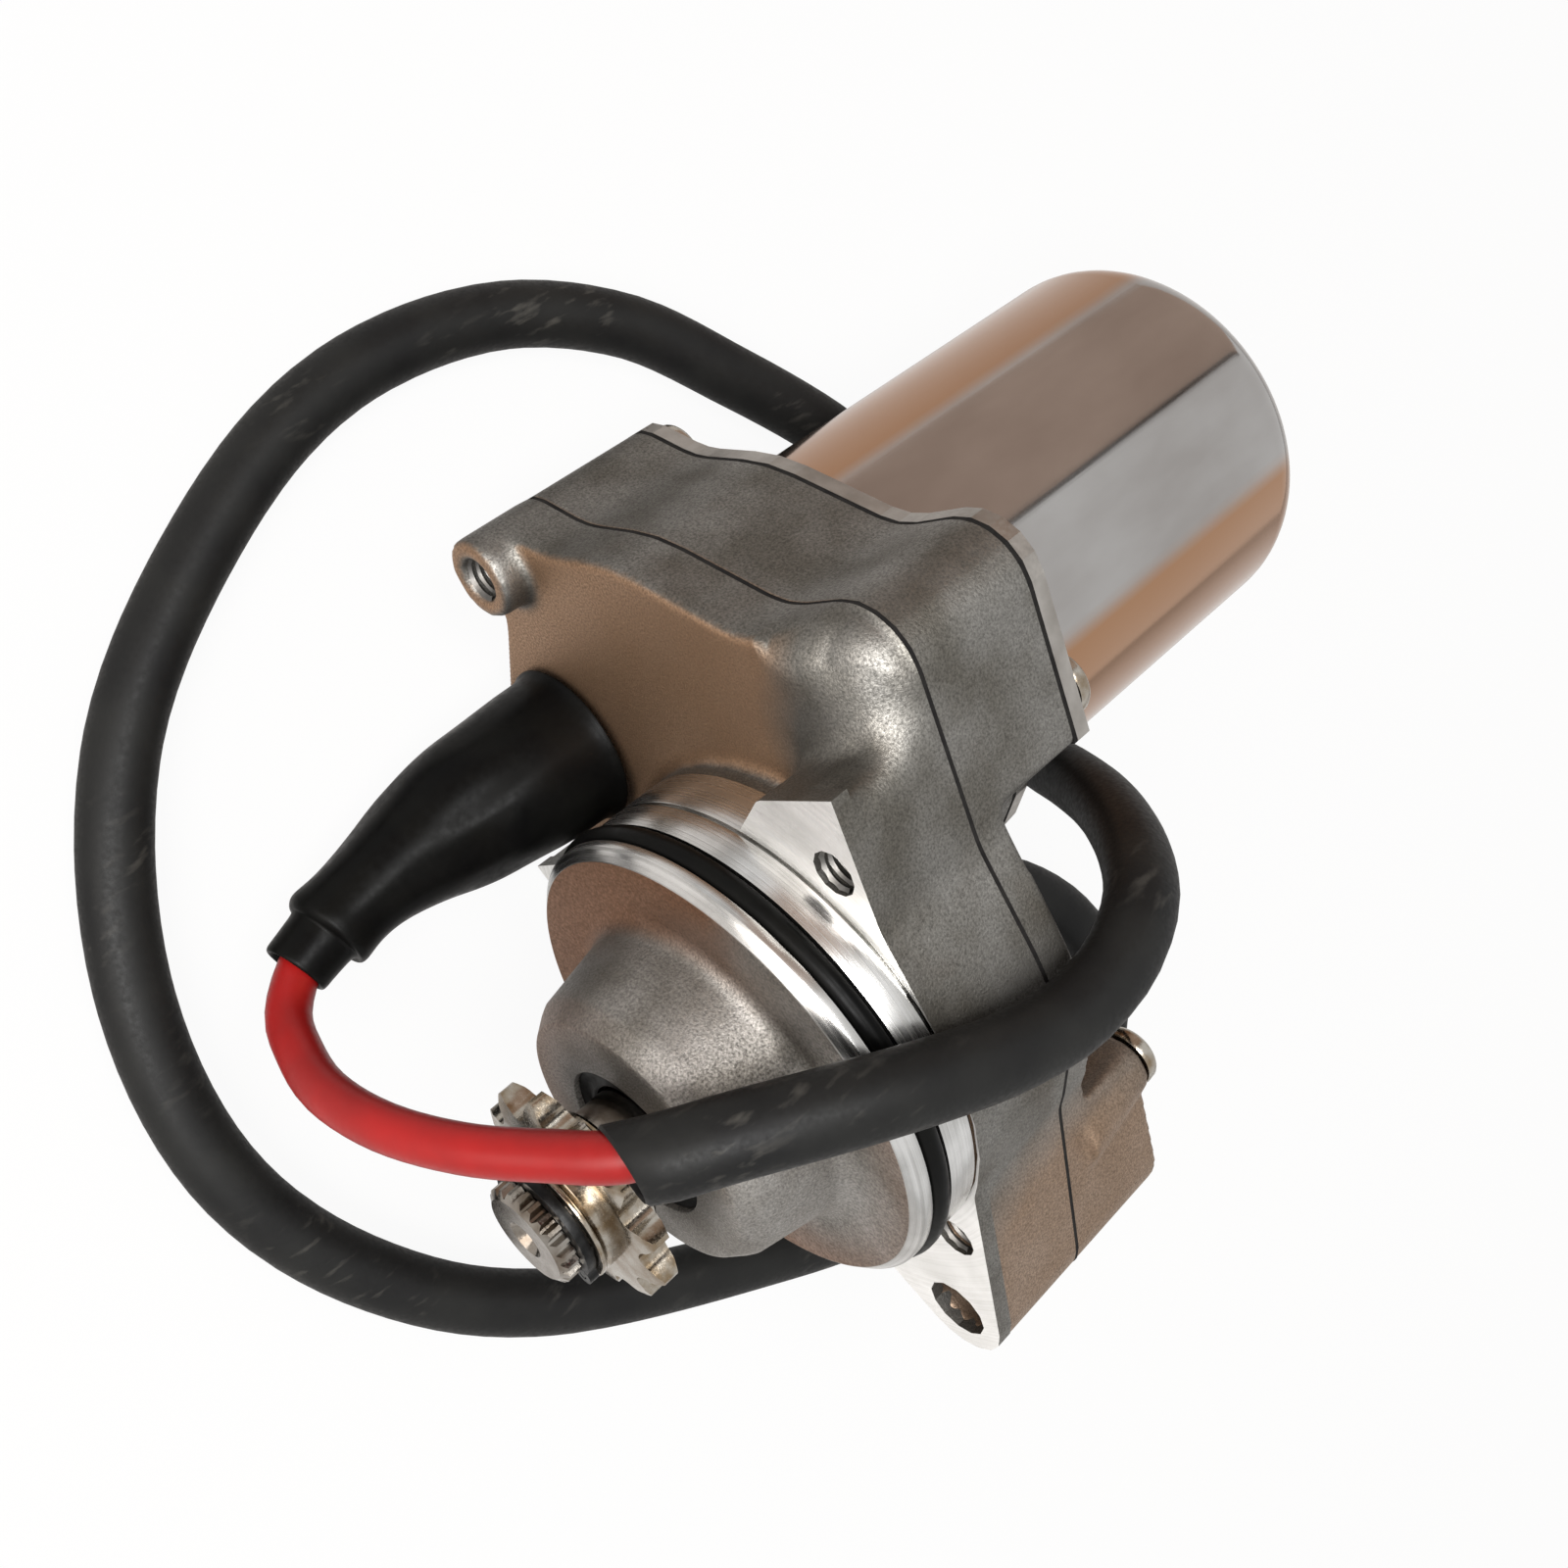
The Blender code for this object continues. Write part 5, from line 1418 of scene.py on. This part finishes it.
    def nose_profile(self) -> Profile:
        """Works out the section of the nose and pilot.

        Returns:
            The points, front first and back along the bore.
        """
        fillet = []
        for degrees in range(180, 80, -15):
            angle = math.radians(degrees)
            fillet.append((21.4 + 2.4 * math.cos(angle), -1.9 + 2.4 * math.sin(angle)))
        return [
            (9.4, -12.0), (15.0, -12.0), (15.7, -11.8), (17.1, -9.9), (17.5, -9.2), (17.7, -8.2), *fillet,
            (self.pilot_r - 1.3, 0.5), (self.pilot_r, 1.7), (self.pilot_r, self.groove[0]),
            (self.groove_r, self.groove[0]), (self.groove_r, self.groove[1]), (self.pilot_r, self.groove[1]),
            (self.pilot_r + 0.06, 9.0), (self.pilot_r + 0.06, 9.45), (self.pilot_r - 0.6, 9.5),
            (self.pilot_r - 0.6, 9.85), (self.pilot_r + 0.06, 9.9), (self.pilot_r + 0.06, 15.6),
            (26.5, 15.6), (26.5, 11.0), (9.3, 11.0),
            (9.3, -2.0), (7.2, -2.0), (7.2, -6.5), (9.4, -6.5),
        ]

    def build_pilot(self) -> None:
        """Turns the pilot and nose, bright where the lathe cut and cast elsewhere."""
        shape = turned_shape(self.nose_profile(), steps=self.nose_steps)
        ease(shape, 0.12, 2, 30.0)
        for vert in shape.verts:
            if vert.co.y > self.skirt_y and vert.co.x > self.skirt_x:
                vert.co *= Vector((self.skirt_sunk, 1.0, self.skirt_sunk))
        for face in shape.faces:
            middle = face.calc_center_median()
            outside = math.hypot(middle.x, middle.z) > self.machined_r
            face.material_index = int(outside or middle.y > self.groove[0] - 0.2)
        lay_painted_reflection(shape, self.reflection_facing.normalized(), *self.nose_reflection, marks=self.marks)
        make_piece(shape, "pilot_and_nose", Body.MOTOR, [CAST_NOSE_PAINTED_LIGHT, TURNED], ["front_cover"])

    def build_mount_face(self) -> None:
        """Lifts the cover's mounting face out of the CAD as a crisp machined skin."""
        shape = node_copy("front_cover")
        others = [
            face
            for face in shape.faces
            if face.normal.y > -0.99 or abs(face.calc_center_median().y - self.mount_face) > 0.02
        ]
        bmesh.ops.delete(shape, geom=others, context="FACES")
        bmesh.ops.dissolve_limit(shape, angle_limit=0.01, verts=shape.verts, edges=shape.edges)
        bmesh.ops.translate(shape, vec=(0.0, -self.face_proud, 0.0), verts=shape.verts)
        grown = bmesh.ops.extrude_face_region(shape, geom=shape.faces[:])["geom"]
        bmesh.ops.translate(shape, vec=(0.0, self.face_thick, 0.0), verts=points_in(grown))
        bmesh.ops.recalc_face_normals(shape, faces=shape.faces)
        for face in shape.faces:
            face.material_index = int(face.normal.y < -0.9)
        make_piece(shape, "mounting_face", Body.MOTOR, [CAST, FACED], ["front_cover"], 25.0)

    def build_threads(self) -> None:
        """Cuts a real screw thread into each tapped hole."""
        shape = bmesh.new()
        steps = 40
        for x, z, front, depth in self.tapped:
            turns = int(depth / self.thread_pitch)
            points = []
            for k in range(turns):
                y = front + self.thread_start + k * self.thread_pitch
                points += [(self.thread_root, y), (self.thread_crest, y + 0.45 * self.thread_pitch)]
            points.append((self.thread_root, front + self.thread_start + turns * self.thread_pitch))
            verts = [shape.verts.new((x + radius, y, z)) for radius, y in points]
            edges = [shape.edges.new(pair) for pair in zip(verts, verts[1:])]
            bmesh.ops.spin(
                shape,
                geom=[*verts, *edges],
                cent=(x, 0.0, z),
                axis=ALONG_Y,
                dvec=(0.0, self.thread_pitch / steps, 0.0),
                angle=math.tau,
                steps=steps,
                use_merge=False,
                use_duplicate=False,
            )
        close_up(shape)
        make_piece(shape, "tapped_threads", Body.MOTOR, [CORE], (), 20.0)


# The can, seals and screws


@dataclass
class MotorShell:
    """The drawn can, the rubber rings and the screws that hold the case together."""

    can_r: float = 24.7
    wall: float = 2.0
    mouth: float = 44.65
    end: float = 107.0
    corner: float = 7.0
    seat_sunk: float = 0.8
    # The painted tan floor reflection lies on the sides that face this way
    can_reflection_facing: Vector = field(default_factory=lambda: Vector((0.38, 0.0, -0.925)))
    # The painted tan reflection: the shares of facing from which it starts and is full, its most, and where
    # it fades out again
    can_reflection: tuple[float, float, float] = (-0.82, -0.77, 0.9)
    can_reflection_spent: tuple[float, float] = (0.1, 0.45)
    ring_r: float = 1.25
    ring_centre: tuple[float, float] = (28.4, 4.25)
    plate_seat: float = 44.65
    ear_seat: float = 41.95
    shank_r: float = 2.4
    head_r: float = 4.0
    head_high: float = 2.9
    dome_high: float = 1.9
    cross_turn: float = 0.35
    # Screws as (node, x, z, tip)
    screws: tuple[tuple[str, float, float, float], ...] = (
        ("cover_screw_1", 29.2, 12.4, 17.0),
        ("cover_screw_2", -21.0, 26.0, 18.0),
        ("cover_screw_3", -56.0, -20.2, 20.0),
        ("cover_screw_4", -16.8, -32.6, 20.5),
    )

    def build(self) -> None:
        """Makes the can, the two rings and the four screws."""
        self.build_can()
        self.build_ring()
        self.build_seal()
        for node, x, z, tip in self.screws:
            seat = self.ear_seat if node == "cover_screw_1" else self.plate_seat
            self.build_screw(node, Vector((x, 0.0, z)), seat, tip)

    def build_can(self) -> None:
        """Draws the can, with a round corner and a pressed bearing seat in its end."""
        corner = []
        for k in range(13):
            angle = math.radians(7.5 * k)
            radius = self.can_r - self.corner * (1 - math.cos(angle))
            corner.append((radius, self.end - self.corner * (1 - math.sin(angle))))
        inner, floor = self.can_r - self.wall, self.end - self.wall
        seat = self.end - self.seat_sunk
        profile = [
            (inner, self.mouth), (self.can_r, self.mouth), *corner, (10.6, self.end), (9.8, self.end - 0.7),
            (9.0, seat), (0.0, seat), (0.0, floor), (self.can_r - self.corner, floor),
            (inner - 1.2, self.end - self.corner + 1.5), (inner, self.end - self.corner - 1.0),
        ]
        shape = turned_shape(profile, ARMATURE_AXIS, 160)
        # The painted reflection stays off the can's end
        middle = Vector((ARMATURE_AXIS.x, self.end, ARMATURE_AXIS.z))
        marks = [(middle, self.can_r - self.corner, self.can_r, 0.0)]
        facing = self.can_reflection_facing.normalized()
        lay_painted_reflection(shape, facing, *self.can_reflection, ARMATURE_AXIS, self.can_reflection_spent, marks)
        make_piece(shape, "drawn_motor_can", Body.MOTOR, [DRAWN], ["motor_can"], 30.0)

    def build_ring(self) -> None:
        """Lays the rubber ring in the pilot's groove."""
        shape = bmesh.new()
        middle = Matrix.Translation((self.ring_centre[0], self.ring_centre[1], 0.0))
        made = bmesh.ops.create_circle(shape, cap_ends=False, segments=18, radius=self.ring_r, matrix=middle)
        verts = made["verts"]
        edges = edges_at(verts)
        bmesh.ops.spin(
            shape,
            geom=[*verts, *edges],
            cent=OUTPUT_AXIS,
            axis=ALONG_Y,
            angle=math.tau,
            steps=144,
            use_merge=True,
            use_duplicate=False,
        )
        close_up(shape)
        make_piece(shape, "pilot_sealing_ring", Body.MOTOR, [RUBBER], ["pilot_o_ring"])

    def build_seal(self) -> None:
        """Turns the shaft seal: a flat face, a dust lip and the sealing lip behind it."""
        profile = [
            (9.25, -11.3), (9.25, -6.8), (7.6, -6.8), (7.6, -8.0), (6.75, -8.5), (6.65, -8.9), (7.3, -9.6),
            (6.9, -10.6), (6.8, -11.0), (7.2, -11.2), (7.9, -10.9), (8.4, -11.1),
        ]
        shape = turned_shape(profile)
        make_piece(shape, "shaft_lip_seal", Body.MOTOR, [RUBBER], ["nose_oil_seal"], 50.0)

    def build_screw(self, node: str, axis: Vector, seat: float, tip: float) -> None:
        """Makes a pan-head screw with a cross recess.

        Args:
            node: the CAD node that it stands for.
            axis: a point on its axis.
            seat: where its head sits, along Y.
            tip: where its point ends.
        """
        crown = seat + self.head_high
        dome = []
        for degrees in range(10, 90, 10):
            angle = math.radians(degrees)
            dome.append((self.head_r * math.cos(angle), seat + 1.0 + self.dome_high * math.sin(angle)))
        profile = [
            (0.0, tip), (2.1, tip), (self.shank_r, tip + 0.6), (self.shank_r, seat), (3.85, seat),
            (self.head_r, seat + 0.3), *dome, (0.0, crown),
        ]
        shape = turned_shape(profile, axis, 40)
        cross = bmesh.new()
        for angle in (self.cross_turn, self.cross_turn + math.pi / 2):
            place = Matrix.Translation((axis.x, crown, axis.z)) @ Matrix.Rotation(angle, 4, "Y")
            bmesh.ops.create_cube(cross, size=1.0, matrix=place @ Matrix.Diagonal((4.6, 3.0, 0.95, 1.0)))
        slots = bmesh.new()
        bmesh.ops.create_cone(
            slots,
            cap_ends=True,
            segments=24,
            radius1=0.7,
            radius2=2.3,
            depth=2.0,
            matrix=Matrix.Translation((axis.x, seat + 2.2, axis.z)) @ Matrix.Rotation(-math.pi / 2, 4, "X"),
        )
        cross = modified(cross, "BOOLEAN", slots, operation="INTERSECT", solver="EXACT", use_self=True)
        shape = combined(shape, cross, "DIFFERENCE")
        make_piece(shape, node + "_pan_head", Body.MOTOR, [ZINC], [node], 30.0)


# The shaft end


@dataclass
class ShaftEnd:
    """The splined output shaft with its sprocket, washer and circlip."""

    tip: float = -27.3
    teeth: int = 24
    tooth_r: float = 6.1
    root_r: float = 5.5
    journal_r: float = 6.5
    hub_front: float = -23.0
    hub_rear: float = -15.9
    hub_r: float = 7.8
    bore_r: float = 6.4
    plate_front: float = -21.2
    plate_rear: float = -17.8
    sprocket_teeth: int = 12
    chain_pitch: float = 6.35
    roller_r: float = 1.7
    sprocket_r: float = 13.4
    tip_land: float = 0.62
    washer: tuple[float, float] = (-23.75, -23.2)
    washer_r: float = 7.9
    clip: tuple[float, float] = (-25.05, -23.9)
    clip_play: float = 0.15
    clip_bore: float = 5.4
    clip_r: float = 7.0
    eye_r: float = 6.65
    eye_proud: float = 0.02

    def build(self) -> None:
        """Makes the shaft and the pieces on its end."""
        self.build_shaft()
        self.build_sprocket()
        self.build_washer()
        self.build_clip()

    def repeated(self, pitch_points: Profile, count: int, front: float, back: float) -> bmesh.types.BMesh:
        """A bar whose outline repeats one pitch round the axis.

        Args:
            pitch_points: one pitch as (radius, angle), ending where the next begins.
            count: how many pitches go round.
            front: the bar's front along Y.
            back: its back.

        Returns:
            The closed bar.
        """
        shape = bmesh.new()
        verts = [shape.verts.new((r * math.cos(a), front, r * math.sin(a))) for r, a in pitch_points]
        edges = [shape.edges.new(pair) for pair in zip(verts, verts[1:])]
        bmesh.ops.spin(
            shape,
            geom=[*verts, *edges],
            cent=OUTPUT_AXIS,
            axis=-ALONG_Y,
            angle=math.tau,
            steps=count,
            use_merge=False,
            use_duplicate=True,
        )
        bmesh.ops.remove_doubles(shape, verts=shape.verts, dist=0.002)
        face = bmesh.ops.edgeloop_fill(shape, edges=shape.edges)["faces"]
        grown = bmesh.ops.extrude_face_region(shape, geom=face)["geom"]
        bmesh.ops.translate(shape, vec=(0.0, back - front, 0.0), verts=points_in(grown))
        bmesh.ops.recalc_face_normals(shape, faces=shape.faces)
        return shape

    def build_shaft(self) -> None:
        """Cuts the splines, the centre hole and the clip groove, and turns the journal."""
        half = math.pi / self.teeth
        middle = (self.tooth_r + self.root_r) / 2
        flank = [
            (self.tooth_r, 0.3 * half), (middle, 0.52 * half), (self.root_r, 0.8 * half), (self.root_r, half),
        ]
        pitch = [(radius, -angle) for radius, angle in reversed(flank)] + flank
        shape = self.repeated(pitch, self.teeth, self.tip, self.hub_rear)
        past = self.hub_rear + 0.5
        envelope = [
            (0.0, self.tip + 3.9), (1.2, self.tip + 3.2), (1.2, self.tip + 1.5), (2.3, self.tip),
            (5.2, self.tip), (6.3, self.tip + 0.75), (6.3, past), (0.0, past),
        ]
        shape = combined(shape, turned_shape(envelope, steps=64), "INTERSECT")
        front, back = self.clip[0] - self.clip_play, self.clip[1] + self.clip_play
        groove = [(8.0, front), (8.0, back), (5.1, back), (5.1, front)]
        shape = combined(shape, turned_shape(groove, steps=64), "DIFFERENCE")
        journal = [
            (0.0, self.hub_rear - 0.2), (6.2, self.hub_rear - 0.2), (self.journal_r, self.hub_rear + 0.2),
            (self.journal_r, 13.9), (7.0, 13.9), (7.0, 24.1), (4.0, 24.1), (4.0, 27.6), (3.8, 27.8),
            (0.0, 27.8),
        ]
        turn(shape, journal, steps=72)
        make_piece(shape, "splined_output_shaft", Body.OUTPUT, [GROUND], ["output_shaft"], 28.0)

    def build_sprocket(self) -> None:
        """Cuts the sprocket's roller seats, chamfers its teeth and adds the hub."""
        pitch_r = self.chain_pitch / 2 / math.sin(math.pi / self.sprocket_teeth)
        half = math.pi / self.sprocket_teeth
        tip_half = self.tip_land / self.sprocket_r
        seat: Profile = []
        for degrees in range(-72, 73, 12):
            angle = math.pi - math.radians(degrees)
            x, z = pitch_r + self.roller_r * math.cos(angle), self.roller_r * math.sin(angle)
            seat.append((math.hypot(x, z), math.atan2(z, x)))
        seat.sort(key=lambda point: point[1])
        tooth = [
            (self.sprocket_r - 0.3, half - tip_half), (self.sprocket_r - 0.05, half - 0.55 * tip_half),
            (self.sprocket_r, half),
        ]
        pitch = [(radius, -angle) for radius, angle in reversed(tooth)] + seat + tooth
        shape = self.repeated(pitch, self.sprocket_teeth, self.plate_front, self.plate_rear)
        middle = (self.plate_front + self.plate_rear) / 2
        rim = [
            (0.0, self.plate_front - 1), (10.4, self.plate_front - 1), (10.4, self.plate_front),
            (12.4, self.plate_front + 0.35), (13.8, middle - 0.7), (13.8, middle + 0.7),
            (12.4, self.plate_rear - 0.35), (10.4, self.plate_rear), (10.4, self.plate_rear + 1),
            (0.0, self.plate_rear + 1),
        ]
        shape = combined(shape, turned_shape(rim, steps=96), "INTERSECT")
        hub = [
            (0.0, self.hub_front), (7.4, self.hub_front), (self.hub_r, self.hub_front + 0.4),
            (self.hub_r, self.hub_rear - 0.4), (7.4, self.hub_rear), (0.0, self.hub_rear),
        ]
        shape = combined(shape, turned_shape(hub, steps=72), "UNION")
        front, back = self.hub_front - 1, self.hub_rear + 1
        bore = [(0.0, front), (self.bore_r, front), (self.bore_r, back), (0.0, back)]
        shape = combined(shape, turned_shape(bore, steps=72), "DIFFERENCE")
        piece = make_piece(shape, "chain_sprocket", Body.OUTPUT, [ZINC], ["sprocket"], 30.0)
        add_modifier(
            piece,
            "BEVEL",
            width=0.00012,
            segments=2,
            limit_method="ANGLE",
            angle_limit=math.radians(35),
            use_clamp_overlap=True,
        )

    def build_washer(self) -> None:
        """Turns the thrust washer, with eased edges."""
        front, back = self.washer
        outline = [(self.bore_r, front), (self.washer_r, front), (self.washer_r, back), (self.bore_r, back)]
        shape = turned_shape(outline, steps=72)
        ease(shape, 0.12)
        make_piece(shape, "thrust_washer", Body.OUTPUT, [ZINC], ["sprocket_washer"], 40.0)

    def build_clip(self) -> None:
        """Bends the circlip, with an eye at each end."""
        shape = bmesh.new()
        gap = math.radians(22)
        front, back = self.clip
        corners = [(self.clip_bore, front), (self.clip_r, front), (self.clip_r, back), (self.clip_bore, back)]
        across, up = math.cos(gap), math.sin(gap)
        verts = [shape.verts.new((radius * across, y, radius * up)) for radius, y in corners]
        face = shape.faces.new(verts)
        bmesh.ops.spin(
            shape,
            geom=[face, *face.edges, *verts],
            cent=OUTPUT_AXIS,
            axis=-ALONG_Y,
            angle=math.tau - 2 * gap,
            steps=56,
            use_merge=False,
            use_duplicate=False,
        )
        close_up(shape)
        ease(shape, 0.1, 2, 40.0)
        for side in (1, -1):
            angle = side * (gap + 0.06)
            eye = Vector((self.eye_r * math.cos(angle), 0.0, self.eye_r * math.sin(angle)))
            low, high = front - self.eye_proud, back + self.eye_proud
            turn(shape, [(0.5, low), (1.15, low), (1.15, high), (0.5, high)], eye, 24)
        make_piece(shape, "shaft_circlip", Body.OUTPUT, [BLACKED], ["sprocket_circlip"], 40.0)


# What stays as it was packed


@dataclass
class InnerWorks:
    """The pieces inside the case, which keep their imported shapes."""

    finishes: dict[str, Finish] = field(
        default_factory=lambda: {
            "output_front_bush": BRONZE, "output_rear_bush": BRONZE, "armature_front_bush": BRONZE,
            "armature_rear_bush": BRONZE, "field_magnet_1": FERRITE, "field_magnet_2": FERRITE,
            "brush_plate": PHENOLIC, "brush_holder_1": BRASS, "brush_holder_2": BRASS,
            "carbon_brush_1": CARBON, "carbon_brush_2": CARBON, "brush_spring_1": GROUND,
            "brush_spring_2": GROUND, "terminal_stud": BRASS, "terminal_insulator": PHENOLIC,
            "terminal_nut_1": ZINC, "terminal_nut_2": ZINC, "ring_terminal": TINNED, "output_gear": CORE,
            "armature_shaft": GROUND, "lamination_core": CORE, "armature_winding": COPPER,
            "commutator": COPPER,
        }
    )

    def dress(self) -> None:
        """Gives every inner piece its finish."""
        for node, finish in self.finishes.items():
            dress_node(node, finish)


def main() -> None:
    """Builds the studio and the motor's sub-assemblies in order."""
    logging.basicConfig(level=logging.INFO, format="%(name)s: %(message)s")
    Studio().set_up()
    Cable().build()
    TerminalBoot().build()
    GearCase().build()
    MotorShell().build()
    ShaftEnd().build()
    InnerWorks().dress()


if __name__ == "__main__":
    main()
